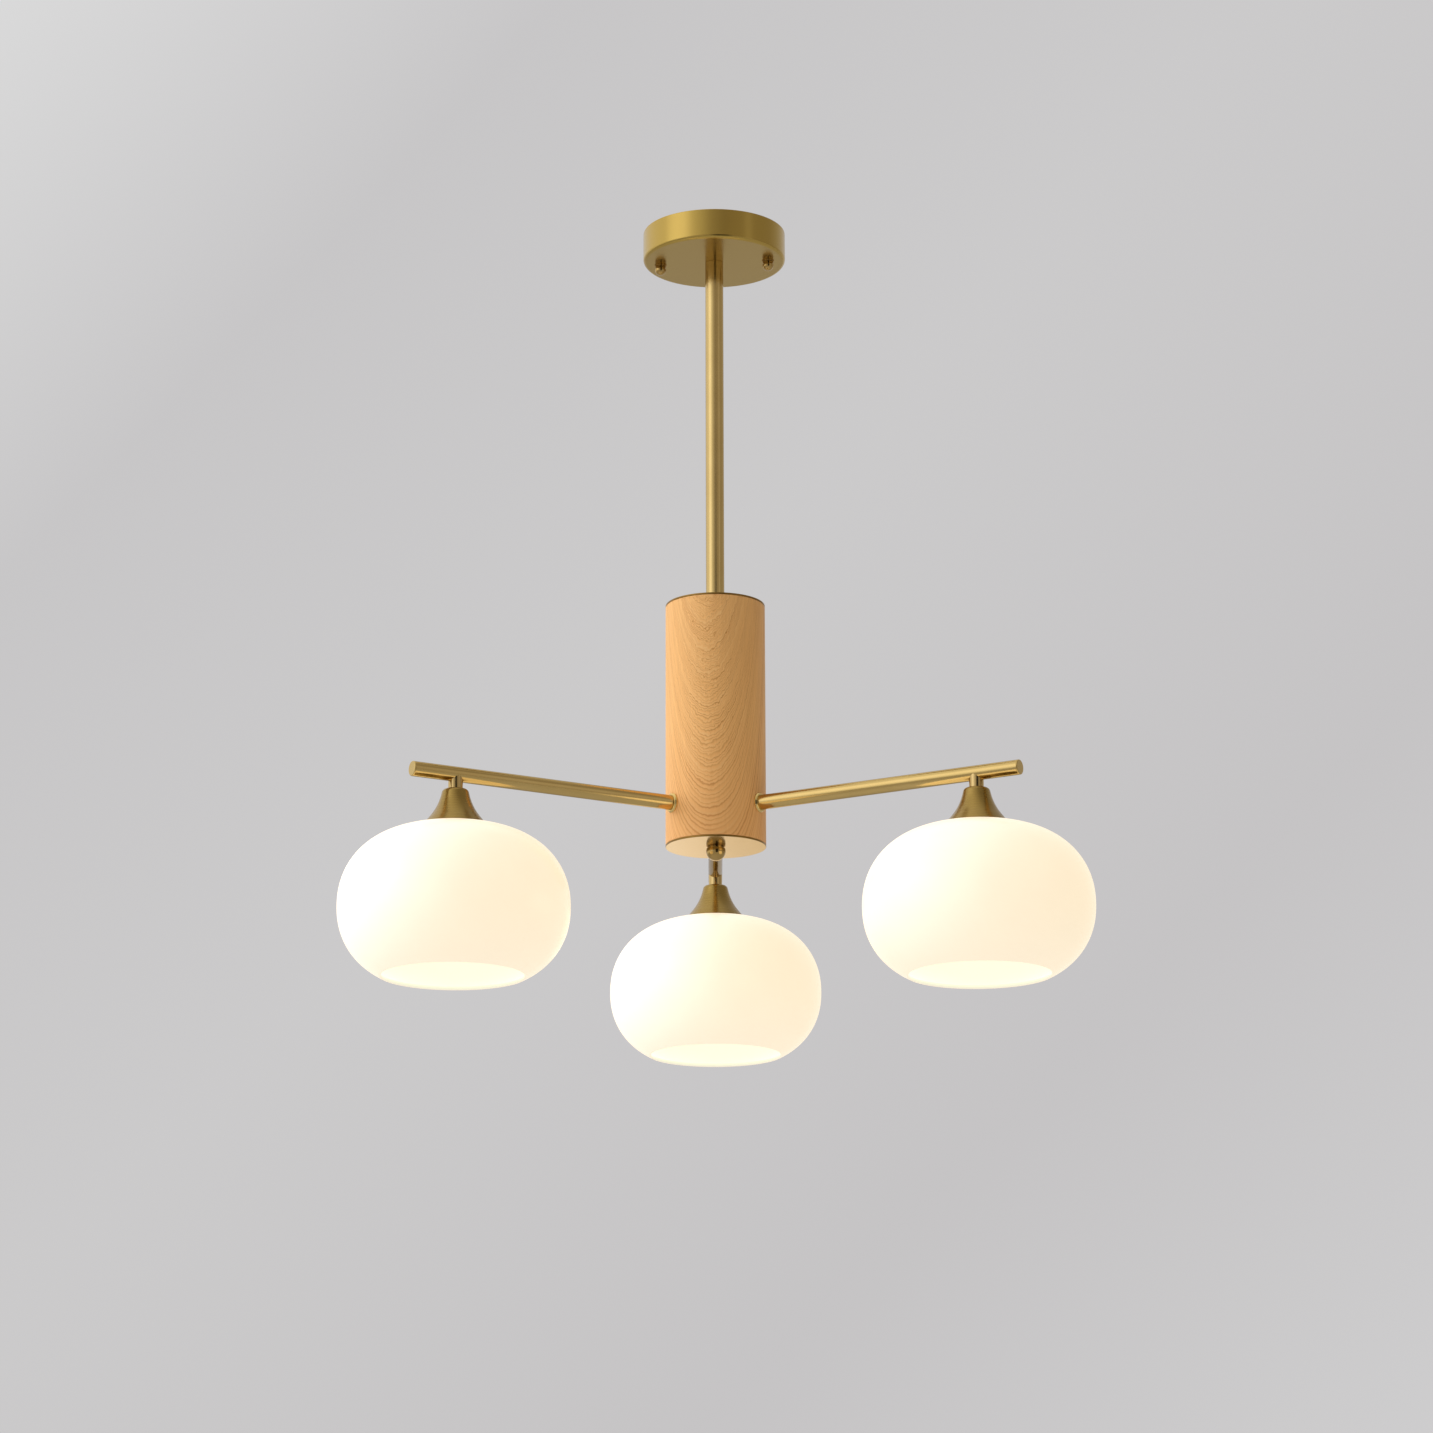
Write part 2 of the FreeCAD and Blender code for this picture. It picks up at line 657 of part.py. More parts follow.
def arms():
    collars, caps, wires, nipples, necks = [], [], [], [], []
    tube_end = dim.arm_reach - dim.arm_cap_thickness
    for lamp in LAMPS:
        turn = arm_turn(lamp)
        outside = lying_cylinder(dim.arm_radius, dim.arm_start, tube_end, ARM_LEVEL)
        bore = lying_cylinder(ARM_BORE, dim.arm_start, tube_end, ARM_LEVEL)
        entry = cylinder(dim.nipple_radius, dim.arm_entry_depth, dim.lamp_reach, 0,
                         NIPPLE_TOP - dim.arm_entry_depth)
        keep(place(cut(outside, bore, entry), turn=turn), f"arm_tube_{lamp}")
        collars.append(place(collar(), turn=turn))
        caps.append(end_cap(lamp, turn))
        wires.append(place(arm_wire(), turn=turn))
        nipples.append(place(socket_nipple(), turn=turn))
        necks.append(place(neck(), turn=turn))
    group("arm_collars", collars)
    group("arm_end_caps", caps)
    group("arm_wires", wires)
    group("socket_nipples", nipples)
    group("arm_necks", necks)


def collar():
    """A bush in the wood with a flared flange that is shaped to the column."""
    flare = document.addObject("Part::Cone", "flare")
    flare.setExpression("Radius1", dim.collar_foot_radius.formula)
    flare.setExpression("Radius2", dim.collar_lip_radius.formula)
    flare.setExpression("Height", (dim.collar_end - dim.collar_start).formula)
    point_outward(flare, dim.collar_start, ARM_LEVEL)
    reach = dim.collar_foot_radius * 2
    flange = cut(flare, cylinder(dim.column_radius, reach * 2, 0, 0, ARM_LEVEL - reach))
    bush = lying_cylinder(dim.collar_bush_radius, dim.collar_bush_start, dim.column_radius,
                          ARM_LEVEL)
    bore = lying_cylinder(dim.arm_radius, dim.collar_bush_start, dim.collar_end, ARM_LEVEL)
    return cut(fuse(flange, bush), bore)


def end_cap(lamp, turn):
    """A plug in the arm's end with a rounded rim, turned about the arm's axis."""
    plug, rim = dim.arm_cap_plug, dim.arm_cap_thickness
    outline = [(0, 0), (ARM_BORE, 0), (ARM_BORE, plug), (dim.arm_radius, plug),
               (dim.arm_radius, plug + rim), (0, plug + rim)]
    body = turned(f"end_cap_{lamp}", outline, [(4, dim.arm_cap_round)])
    return point_outward(body, dim.arm_reach - rim - plug, ARM_LEVEL, turn)


def arm_wire():
    """Along the arm, over a bend and down through the lamp holder's threaded tube."""
    bend, radius = dim.wire_bend, dim.wire_radius
    run = lying_cylinder(radius, dim.wire_start, dim.lamp_reach - bend, ARM_LEVEL)
    corner = quarter_bend(radius, bend)
    base = f"vector({(dim.lamp_reach - bend).formula}; 0; {(ARM_LEVEL - bend).formula})"
    corner.setExpression("Placement", f"placement({base}; rotation(vector(1; 0; 0); 90))")
    low = SOCKET_FLOOR + dim.hole_gap
    drop = cylinder(radius, ARM_LEVEL - bend - low, dim.lamp_reach, 0, low)
    return fuse(run, corner, drop)


def socket_nipple():
    """The threaded tube from the arm down into the lamp holder."""
    low = SOCKET_TOP - dim.nipple_hold
    length = NIPPLE_TOP - low
    return cut(cylinder(dim.nipple_radius, length, dim.lamp_reach, 0, low),
               cylinder(dim.nipple_bore, length, dim.lamp_reach, 0, low))


def neck():
    """A short sleeve between arm and cup, with a saddle that fits the arm."""
    height, reach = dim.neck_drop - dim.neck_saddle_depth, dim.neck_radius * 2
    sleeve = cylinder(dim.neck_radius, height, dim.lamp_reach, 0, CUP_TOP)
    arm = lying_cylinder(dim.arm_radius, dim.lamp_reach - reach, dim.lamp_reach + reach, ARM_LEVEL)
    bore = cylinder(dim.nipple_radius, height, dim.lamp_reach, 0, CUP_TOP)
    return cut(sleeve, arm, bore)


# ---- Lamps ----------------------------------------------------------------------------------

def lamps():
    nuts, contacts = [], []
    for lamp in LAMPS:
        lamp_cup(lamp)
        nuts.append(over_lamp(cup_nut(), lamp, CUP_TOP - dim.cup_wall - dim.cup_nut_thickness))
        socket(lamp)
        contact = turned(f"contact_{lamp}", [(0, 0), (dim.contact_radius, 0),
                         (dim.contact_radius, dim.contact_thickness), (0, dim.contact_thickness)])
        contacts.append(over_lamp(contact, lamp, SOCKET_FLOOR - dim.contact_thickness))
        shade(lamp)
        bulb(lamp)
    group("cup_nuts", nuts)
    group("socket_contacts", contacts)


def lamp_cup(lamp):
    """A spun cup, slightly flared, with a rounded shoulder; it covers the lamp holder's head."""
    wall, height, hole = dim.cup_wall, dim.cup_height, dim.nipple_radius
    waist, waist_height = dim.cup_waist_radius, dim.cup_waist_height
    outline = [(dim.cup_rim_radius - wall, 0), (dim.cup_rim_radius, 0), (waist, waist_height),
               (dim.cup_top_radius, height), (hole, height), (hole, height - wall),
               (dim.cup_top_radius - wall, height - wall), (waist - wall, waist_height)]
    body = turned(f"cup_{lamp}", outline, [(3, dim.cup_shoulder), (2, dim.cup_waist_round)])
    keep(over_lamp(body, lamp, CUP_RIM), f"lamp_cup_{lamp}")


def cup_nut():
    return cut(hexagon(dim.cup_nut_flats, dim.cup_nut_thickness),
               cylinder(dim.nipple_radius, dim.cup_nut_thickness))


def socket(lamp):
    """The lamp holder: an insulating body with a threaded metal shell in its mouth."""
    outer, mouth, floor = dim.socket_radius, dim.socket_mouth_radius, dim.socket_mouth_depth
    top, hole, seat = dim.socket_height, dim.wire_radius + dim.bore_gap, dim.nipple_hold
    outline = [(mouth, 0), (outer, 0), (outer, dim.socket_barrel), (dim.socket_top_radius, top),
               (dim.nipple_radius, top), (dim.nipple_radius, top - seat), (hole, top - seat),
               (hole, floor), (mouth, floor)]
    body = turned(f"holder_{lamp}", outline)
    keep(over_lamp(body, lamp, SOCKET_BOTTOM), f"socket_{lamp}")
    shell = washer(f"shell_{lamp}", mouth, dim.shell_bore, dim.shell_length)
    keep(over_lamp(shell, lamp, SOCKET_BOTTOM + dim.shell_inset), f"socket_shell_{lamp}")


def globe_point(angle):
    """A point of the globe's outline and its outward normal, at an angle above the equator."""
    upper = angle >= 0
    height = (dim.globe_upper if upper else dim.globe_lower).value
    power_r, power_z = UPPER_EXPONENTS if upper else LOWER_EXPONENTS
    across, rise = abs(math.cos(angle)), abs(math.sin(angle))
    radius = dim.globe_radius.value
    r = radius * across ** (2 / power_r)
    z = math.copysign(height * rise ** (2 / power_z), angle)
    slope_r = power_r / radius * (r / radius) ** (power_r - 1)
    slope_z = power_z / height * (abs(z) / height) ** (power_z - 1)
    normal = FreeCAD.Vector(slope_r, 0, math.copysign(slope_z, angle))
    return FreeCAD.Vector(r, 0, z), normal.normalize()


def globe_solid():
    """A shell of even thickness, cut straight at the hole and rounded at the mouth."""
    radius, wall = dim.globe_radius.value, dim.globe_wall.value
    top = math.acos((dim.globe_hole.value / radius) ** (UPPER_EXPONENTS[0] / 2))
    mouth = -math.acos((dim.globe_mouth.value / radius) ** (LOWER_EXPONENTS[0] / 2))
    steps = ARCS_PER_HALF * 2
    angles = [top * (1 - step / steps) for step in range(steps)]
    angles += [mouth * step / steps for step in range(steps + 1)]
    sides = [globe_point(angle) for angle in angles]
    outside = [point for point, normal in sides]
    inside = [point - normal * wall for point, normal in reversed(sides)]
    end, normal = sides[-1]
    along = FreeCAD.Vector(normal.z, 0, -normal.x)
    lip = [outside[-1], end + (along - normal) * (wall / 2), inside[0]]
    edges = arcs_through(outside) + arcs_through(lip) + arcs_through(inside)
    edges.append(Part.LineSegment(inside[-1], outside[0]).toShape())
    return Part.Face(Part.Wire(edges)).revolve(FreeCAD.Vector(), FreeCAD.Vector(0, 0, 1), 360)


def arcs_through(points):
    """Arcs end to end, each through three points in a row."""
    return [Part.Arc(*points[start:start + 3]).toShape() for start in range(0, len(points) - 2, 2)]


def shade(lamp):
    """The opal globe, its gasket, and the ring that clamps it to the lamp holder."""
    globe = document.addObject("Part::Feature", f"globe_{lamp}")
    globe.Shape = globe_solid()
    keep(over_lamp(globe, lamp, GLOBE_CENTRE), f"glass_shade_{lamp}")
    gasket = washer(f"gasket_{lamp}", dim.gasket_radius, dim.gasket_bore, dim.gasket_thickness)
    keep(over_lamp(gasket, lamp, GASKET_TOP - dim.gasket_thickness), f"shade_gasket_{lamp}")
    bore, collar_radius, height = dim.ring_bore, dim.ring_collar_radius, dim.ring_height
    step = height - dim.ring_flange_thickness
    outline = [(bore, 0), (collar_radius, 0), (collar_radius, step),
               (dim.ring_flange_radius, step), (dim.ring_flange_radius, height), (bore, height)]
    body = turned(f"ring_{lamp}", outline, [(3, dim.ring_round), (1, dim.ring_round)])
    keep(over_lamp(body, lamp, RING_TOP - height), f"shade_ring_{lamp}")


def bulb(lamp):
    """A round bulb: glass envelope, screw cap and centre contact with its insulator."""
    tip, insulator = dim.bulb_tip_radius, dim.bulb_insulator_radius
    height = dim.bulb_tip_height - dim.screw_gap
    contact = turned(f"bulb_tip_{lamp}", [(0, 0), (insulator, 0), (tip, dim.bulb_insulator_height),
                                          (tip, height), (0, height)])
    keep(over_lamp(contact, lamp, BULB_CAP_TOP + dim.screw_gap), f"bulb_contact_{lamp}")
    radius, length, wall = dim.bulb_cap_radius, dim.bulb_cap_length, dim.bulb_cap_wall
    shoulder = length - dim.bulb_cap_shoulder
    outline = [(radius - wall, 0), (radius, 0), (radius, shoulder), (insulator, length),
               (0, length), (0, length - wall), (insulator - wall * 0.5, length - wall),
               (radius - wall, shoulder - wall * 0.5)]
    cap = turned(f"screw_cap_{lamp}", outline)
    keep(over_lamp(cap, lamp, BULB_CAP_BOTTOM), f"bulb_cap_{lamp}")
    glass = cut(envelope(0), envelope(dim.bulb_wall))
    keep(over_lamp(glass, lamp, BULB_BOTTOM), f"bulb_glass_{lamp}")


def envelope(inset):
    """A sphere and the cone that touches it, running up to a straight neck.

    Heights are measured from the bottom of the bulb's glass.  inset draws the surface inward.
    """
    centre, angle, shoulder = dim.bulb_radius, dim.bulb_flank_angle, dim.bulb_shoulder
    radius = centre - inset
    touch_radius, touch_height = radius * cosine(angle), radius * sine(angle)
    flank_end = (radius - shoulder * sine(angle)) / cosine(angle)
    flank = cone(touch_radius, flank_end, shoulder - touch_height, centre + touch_height)
    neck_start = centre + shoulder - dim.bore_gap
    neck = cylinder(dim.bulb_neck_radius - inset, dim.bulb_neck_length + inset, 0, 0, neck_start)
    return fuse(sphere(radius, centre), flank, neck)


# ---- Build, check and write -----------------------------------------------------------------

def build():
    mounting_bar()
    bar_studs()
    earth_screw()
    terminal_block()
    canopy()
    cap_nut_sets()
    hanger()
    supply_cable()
    down_rod()
    column()
    arm_hub()
    finial()
    arms()
    lamps()
    document.recompute()


def check():
    for thing in document.Objects:
        if {"Invalid", "Error"} & set(thing.State):
            raise RuntimeError(f"{thing.Name} ({thing.Label}) failed: {thing.State}")
    for part in sub_parts:
        if part.Shape.isNull() or not part.Shape.isValid() or not part.Shape.Solids:
            raise RuntimeError(f"{part.Label} has no valid solid")


def write():
    os.makedirs("parts", exist_ok=True)
    for part in sub_parts:
        part.Shape.exportStep(f"parts/{part.Label}.step")
        print(f"{part.Label}: {len(part.Shape.Solids)} solid(s), {part.Shape.Volume:.0f} mm3")


build()
check()
write()
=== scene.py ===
import math

import bmesh
import bpy
from mathutils import Matrix, Vector


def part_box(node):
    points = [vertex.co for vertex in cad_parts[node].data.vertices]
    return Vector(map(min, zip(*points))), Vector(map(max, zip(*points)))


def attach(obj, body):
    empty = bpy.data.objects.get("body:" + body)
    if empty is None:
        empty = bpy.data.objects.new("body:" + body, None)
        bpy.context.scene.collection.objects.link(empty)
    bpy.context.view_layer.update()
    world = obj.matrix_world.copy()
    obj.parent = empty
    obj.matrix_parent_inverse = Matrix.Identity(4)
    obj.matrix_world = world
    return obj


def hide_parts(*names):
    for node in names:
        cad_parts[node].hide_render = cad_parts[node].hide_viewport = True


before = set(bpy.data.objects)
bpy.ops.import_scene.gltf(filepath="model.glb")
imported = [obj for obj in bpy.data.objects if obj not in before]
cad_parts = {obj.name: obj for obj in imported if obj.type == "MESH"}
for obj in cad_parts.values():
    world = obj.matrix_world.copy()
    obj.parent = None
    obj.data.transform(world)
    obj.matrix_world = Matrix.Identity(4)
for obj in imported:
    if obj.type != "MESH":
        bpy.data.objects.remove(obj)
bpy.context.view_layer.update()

MM = 0.001
LAMPS = (1, 2, 3)
UP = Vector((0, 0, 1))
E27_PITCH = 3.629 * MM
# A turned outline's point this close to the axis is a single vertex.
ON_AXIS = 1e-7
# Faces that meet at more than this angle keep a sharp edge between them.
CREASE, CAD_CREASE = math.radians(32), math.radians(30)

# ---- Places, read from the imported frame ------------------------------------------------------


def middle(node):
    """The middle of a node's box."""
    low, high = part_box(node)
    return (low + high) / 2


def span(node):
    """(lowest z, highest z, largest radius) of an upright turned node."""
    low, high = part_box(node)
    return low.z, high.z, max(high.x - low.x, high.y - low.y) / 2


CANOPY_LOW, CANOPY_HIGH, CANOPY_RADIUS = span("canopy")
ROD_LOW, ROD_HIGH, ROD_RADIUS = span("down_rod")
WOOD_LOW, WOOD_HIGH, WOOD_RADIUS = span("wood_column")
# The third arm lies along +Y, so its box gives every arm's radius, start and end.
ARM_NEAR, ARM_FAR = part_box("arm_tube_3")
ARM_LEVEL = middle("arm_tube_3").z
ARM_RADIUS = (ARM_FAR.x - ARM_NEAR.x) / 2
ARM_START, ARM_END = ARM_NEAR.y, ARM_FAR.y
ARM_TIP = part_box("arm_end_caps")[1].y


def lamp_axis(lamp):
    """The place of a lamp's vertical axis, at ceiling level."""
    centre = middle(f"glass_shade_{lamp}")
    return Vector((centre.x, centre.y, 0))


# ---- Meshes ----------------------------------------------------------------------------------


def finish_mesh(name, mesh):
    """Makes an object of a mesh, smooth except at its creases."""
    for face in mesh.polygons:
        face.use_smooth = True
    mesh.set_sharp_from_angle(angle=CREASE)
    piece = bpy.data.objects.new(name, mesh)
    bpy.context.scene.collection.objects.link(piece)
    even = piece.modifiers.new("even_normals", "WEIGHTED_NORMAL")
    even.keep_sharp = True
    return piece


def rounded(outline, radii):
    """Replaces corners of a closed outline by arcs; radii maps corner numbers to radii."""
    steps = 6
    result = []
    for number, corner in enumerate(outline):
        if number not in radii:
            result.append(corner)
            continue
        here = Vector(corner)
        before = (Vector(outline[number - 1]) - here).normalized()
        after = (Vector(outline[(number + 1) % len(outline)]) - here).normalized()
        half = before.angle(after) / 2
        reach = radii[number] / math.tan(half)
        centre = here + (before + after).normalized() * (radii[number] / math.sin(half))
        first, last = here + before * reach - centre, here + after * reach - centre
        turn = math.atan2(first.cross(last), first.dot(last))
        result += [tuple(centre + Matrix.Rotation(turn * step / steps, 2) @ first)
                   for step in range(steps + 1)]
    return result


def turned(name, outline, steps, wave=None):
    """Turns a closed outline of (radius, height) about Z, in steps round the circle.

    wave(angle, radius, height) may return a change of radius.  The UV map runs round the piece
    and along its outline, both in metres.
    """
    mesh = bpy.data.meshes.new(name)
    shape = bmesh.new()
    rings = []
    for radius, height in outline:
        if radius < ON_AXIS:
            rings.append([shape.verts.new((0, 0, height))])
            continue
        ring = []
        for step in range(steps):
            angle = 2 * math.pi * step / steps
            r = radius + (wave(angle, radius, height) if wave else 0)
            ring.append(shape.verts.new((r * math.cos(angle), r * math.sin(angle), height)))
        rings.append(ring)
    unwrap = shape.loops.layers.uv.new("UVMap")
    along = 0.0
    mean = sum(radius for radius, height in outline) / len(outline)
    for number, ring in enumerate(rings):
        other = rings[(number + 1) % len(rings)]
        length = math.dist(outline[number], outline[(number + 1) % len(outline)])
        if len(ring) > 1 or len(other) > 1:
            join_rings(shape, unwrap, ring, other, along, along + length, mean, steps)
        along += length
    bmesh.ops.recalc_face_normals(shape, faces=shape.faces)
    shape.to_mesh(mesh)
    shape.free()
    return finish_mesh(name, mesh)


def join_rings(shape, unwrap, ring, other, start, end, mean, steps):
    """Faces between two rings, or between a ring and a point."""
    around = 2 * math.pi * mean / steps
    for step in range(steps):
        follower = (step + 1) % steps
        corners = [(ring[step % len(ring)], step, start), (ring[follower % len(ring)], step + 1, start),
                   (other[follower % len(other)], step + 1, end), (other[step % len(other)], step, end)]
        seen, kept = set(), []
        for vertex, column, height in corners:
            if vertex not in seen:
                seen.add(vertex)
                kept.append((vertex, column, height))
        face = shape.faces.new([vertex for vertex, column, height in kept])
        for loop, (vertex, column, height) in zip(face.loops, kept):
            loop[unwrap].uv = (column * around, height)


def tube_outline(outer, inner, low, high, edge=0.0):
    """A tube's closed outline; edge is the rounding of its four corners."""
    corners = [(inner, low), (outer, low), (outer, high), (inner, high)]
    return rounded(corners, {number: edge for number in range(4)}) if edge else corners


def ball_arc(radius, centre, sweep, steps):
    """Outline points of a ball, from just beside its lowest point up through the sweep angle."""
    angles = [sweep * step / steps for step in range(1, steps + 1)]
    return [(radius * math.sin(angle), centre - radius * math.cos(angle)) for angle in angles]


def thread(radius, depth, low, high, pitch):
    """Outline points of rounded thread crests, upwards from low by whole turns."""
    steps = 8
    turns = max(1, int((high - low) / pitch))
    points = []
    for number in range(turns * steps + 1):
        wave = 0.5 + 0.5 * math.cos(2 * math.pi * number / steps)
        points.append((radius - depth * wave, low + pitch * number / steps))
    return points


# ---- Materials -------------------------------------------------------------------------------


class Nodes:
    """A short way to write the nodes of one shader tree."""

    def __init__(self, tree):
        self.tree = tree

    def link(self, source, target):
        self.tree.links.new(source, target)

    def put(self, target, value):
        """Links an output to an input, or sets the input to a plain value."""
        if isinstance(value, bpy.types.NodeSocket):
            self.link(value, target)
        elif isinstance(value, tuple) and len(value) == 3 and target.type == "RGBA":
            target.default_value = (*value, 1.0)
        else:
            target.default_value = value

    def add(self, kind, **values):
        """Adds a node and fills the inputs that are named, with _ for a space."""
        node = self.tree.nodes.new(f"ShaderNode{kind}")
        for name, value in values.items():
            self.put(node.inputs[name.replace("_", " ")], value)
        return node

    def math(self, operation, *terms):
        node = self.tree.nodes.new("ShaderNodeMath")
        node.operation = operation
        for number, term in enumerate(terms):
            self.put(node.inputs[number], term)
        return node.outputs[0]

    def split(self, vector):
        return self.add("SeparateXYZ", Vector=vector).outputs

    def join(self, x, y, z):
        return self.add("CombineXYZ", X=x, Y=y, Z=z).outputs[0]

    def place(self, source="Object", scale=(1, 1, 1)):
        """The place on the piece, or on its UV map, stretched by scale."""
        start = self.tree.nodes.new("ShaderNodeTexCoord").outputs[source]
        return self.add("Mapping", Vector=start, Scale=scale).outputs[0]

    def noise(self, vector, scale, detail, roughness):
        return self.add("TexNoise", Vector=vector, Scale=scale, Detail=detail,
                        Roughness=roughness).outputs[0]

    def ramp(self, factor, stops):
        """Blends between stops of (position, grey level or colour)."""
        node = self.add("ValToRGB", Fac=factor)
        elements = node.color_ramp.elements
        while len(elements) < len(stops):
            elements.new(0.5)
        for element, (position, colour) in zip(elements, stops):
            element.position = position
            element.color = (*colour, 1.0) if isinstance(colour, tuple) else (colour,) * 3 + (1.0,)
        return node.outputs[0]

    def mix(self, factor, first, second, blend="MIX"):
        node = self.tree.nodes.new("ShaderNodeMix")
        node.data_type = "RGBA"
        node.blend_type = blend
        self.put(node.inputs[0], factor)
        self.put(node.inputs[6], first)
        self.put(node.inputs[7], second)
        return node.outputs[2]

    def remap(self, value, low, high):
        """Maps 0 to 1 onto low to high."""
        return self.math("MULTIPLY_ADD", value, high - low, low)

    def bump(self, height, distance):
        return self.add("Bump", Height=height, Strength=1.0, Distance=distance).outputs[0]


class Look(Nodes):
    """One material: a Principled shader, and the nodes that feed it."""

    def __init__(self, name, **shader):
        self.material = bpy.data.materials.new(name)
        self.material.use_nodes = True
        super().__init__(self.material.node_tree)
        self.tree.nodes.clear()
        self.shader = self.add("BsdfPrincipled", **shader)
        self.add("OutputMaterial", Surface=self.shader.outputs[0])

    def set(self, **values):
        """Fills inputs of the shader, with _ for a space in their names."""
        for name, value in values.items():
            self.put(self.shader.inputs[name.replace("_", " ")], value)


BRASS = (0.605, 0.425, 0.150)
BRIGHT_BRASS = (0.60, 0.425, 0.175)
BRASS_DARK = (0.50, 0.325, 0.085)
# Scales of the UV map, round the piece and along it, that make the finish's fine lines.
DRAWN, SPUN = (7000, 9, 1), (9, 5200, 1)
TURNED, SATIN = (12, 2600, 1), (2600, 2600, 1)


def brass(name, roughness, lines, line_depth, tint=BRASS, lacquer=0.05, edge=(1, 1, 1)):
    """Brass with the fine lines of its making, smudges, a little tarnish and clear lacquer.

    lines scales the UV map: large across the lines, small along them.  edge tints what the
    brass mirrors at a grazing angle.
    """
    look = Look(name, Metallic=1.0, Specular_Tint=edge, Coat_Weight=lacquer, Coat_Roughness=0.1)
    streaks = look.noise(look.place("UV", lines), 1.0, 2.0, 0.5)
    smudges = look.noise(look.place("Object"), 38.0, 3.0, 0.5)
    specks = look.noise(look.place("Object"), 2600.0, 2.0, 0.5)
    tarnish = look.ramp(smudges, [(0.35, 0.0), (0.8, 1.0)])
    look.set(Base_Color=look.mix(look.math("MULTIPLY", tarnish, 0.3), tint, BRASS_DARK))
    rough = look.remap(streaks, roughness * 0.88, roughness * 1.14)
    rough = look.math("ADD", rough, look.remap(smudges, -0.025, 0.035))
    look.set(Roughness=look.math("ADD", rough, look.remap(specks, -0.01, 0.01)))
    look.set(Normal=look.bump(streaks, line_depth))
    return look.material


def plate_brass():
    """Polished sheet brass with painted shade on its upright edge: a dark, duller rim."""
    polished, rubbed, painted_edge_shade = (0.49, 0.335, 0.120), (0.47, 0.31, 0.095), (0.30, 0.175, 0.045)
    look = Look("plate_brass", Metallic=1.0)
    upright = look.math("ABSOLUTE", look.split(look.add("NewGeometry").outputs["Normal"])[2])
    face = look.ramp(upright, [(0.75, 0.0), (0.97, 1.0)])
    rolled = look.noise(look.place("Object", (1, 14, 1)), 160.0, 3.0, 0.6)
    smudges = look.noise(look.place("Object"), 55.0, 3.0, 0.55)
    bright = look.mix(look.remap(smudges, -0.1, 0.4), polished, rubbed)
    # Faces that are not upright take the dark edge colour: painted shade along the joint with the wood.
    look.set(Base_Color=look.mix(face, painted_edge_shade, bright))
    look.set(Roughness=look.math("ADD", look.remap(face, 0.34, 0.12), look.remap(rolled, -0.03, 0.03)))
    look.set(Normal=look.bump(rolled, 0.002 * MM))
    return look.material


# How far behind the column's axis the tree's pith stands, at the column's foot.
PITH = 24.6 * MM


def pith_distance(look, x, y, rise, height):
    """The distance from the pith, made uneven by a slow warp, a ripple and a flutter.

    The pith leans away upwards, most near the foot, and a little to one side.  Ripple and
    flutter are greater in the column's upper part.
    """
    lean, bend, bend_height = 0.09, 3.2 * MM, 50 * MM
    side_lean, side_start = -0.025, 2.3 * MM
    ripple_reach, flutter_reach, warp_reach = 0.44 * MM, 0.24 * MM, 0.9 * MM
    decay = look.math("EXPONENT", look.math("DIVIDE", rise, -bend_height))
    away = look.math("MULTIPLY_ADD", rise, lean, look.math("MULTIPLY_ADD", decay, -bend, PITH + bend))
    depth = look.math("SUBTRACT", away, y)
    side = look.math("MULTIPLY_ADD", rise, side_lean, look.math("SUBTRACT", x, side_start))
    distance = look.math("SQRT", look.math("ADD", look.math("POWER", side, 2.0),
                                           look.math("POWER", depth, 2.0)))
    warp = look.noise(look.place("Object", (1, 1, 0.5)), 17.0, 2.0, 0.45)
    ripple = look.noise(look.place("Object", (1, 1, 0.8)), 150.0, 2.0, 0.5)
    flutter = look.noise(look.place("Object", (1, 1, 0.7)), 480.0, 2.0, 0.5)
    unrest = look.ramp(height, [(0.1, 0.45), (0.7, 1.0)])
    for unevenness, reach in ((ripple, ripple_reach), (flutter, flutter_reach)):
        distance = look.math("MULTIPLY_ADD", look.remap(unevenness, -reach, reach), unrest, distance)
    return look.math("ADD", distance, look.remap(warp, -warp_reach, warp_reach))


def ring_count(look, distance):
    """The number of growth rings from the front of the column's foot outwards.

    per_millimetre holds at the foot's front, narrowing adds rings further out, and a drift
    makes their widths uneven.
    """
    per_millimetre, narrowing, drift_reach = 1.2, 0.105, 1.1
    grown = look.math("DIVIDE", look.math("SUBTRACT", distance, PITH + WOOD_RADIUS), MM)
    outer = look.math("MAXIMUM", grown, 0.0)
    count = look.math("MULTIPLY_ADD", look.math("MULTIPLY", outer, outer), narrowing,
                      look.math("MULTIPLY", grown, per_millimetre))
    drift = look.noise(look.join(look.math("MULTIPLY", count, 0.45), 0.0, 0.0), 1.0, 1.0, 0.5)
    return look.math("ADD", count, look.remap(drift, -drift_reach, drift_reach))


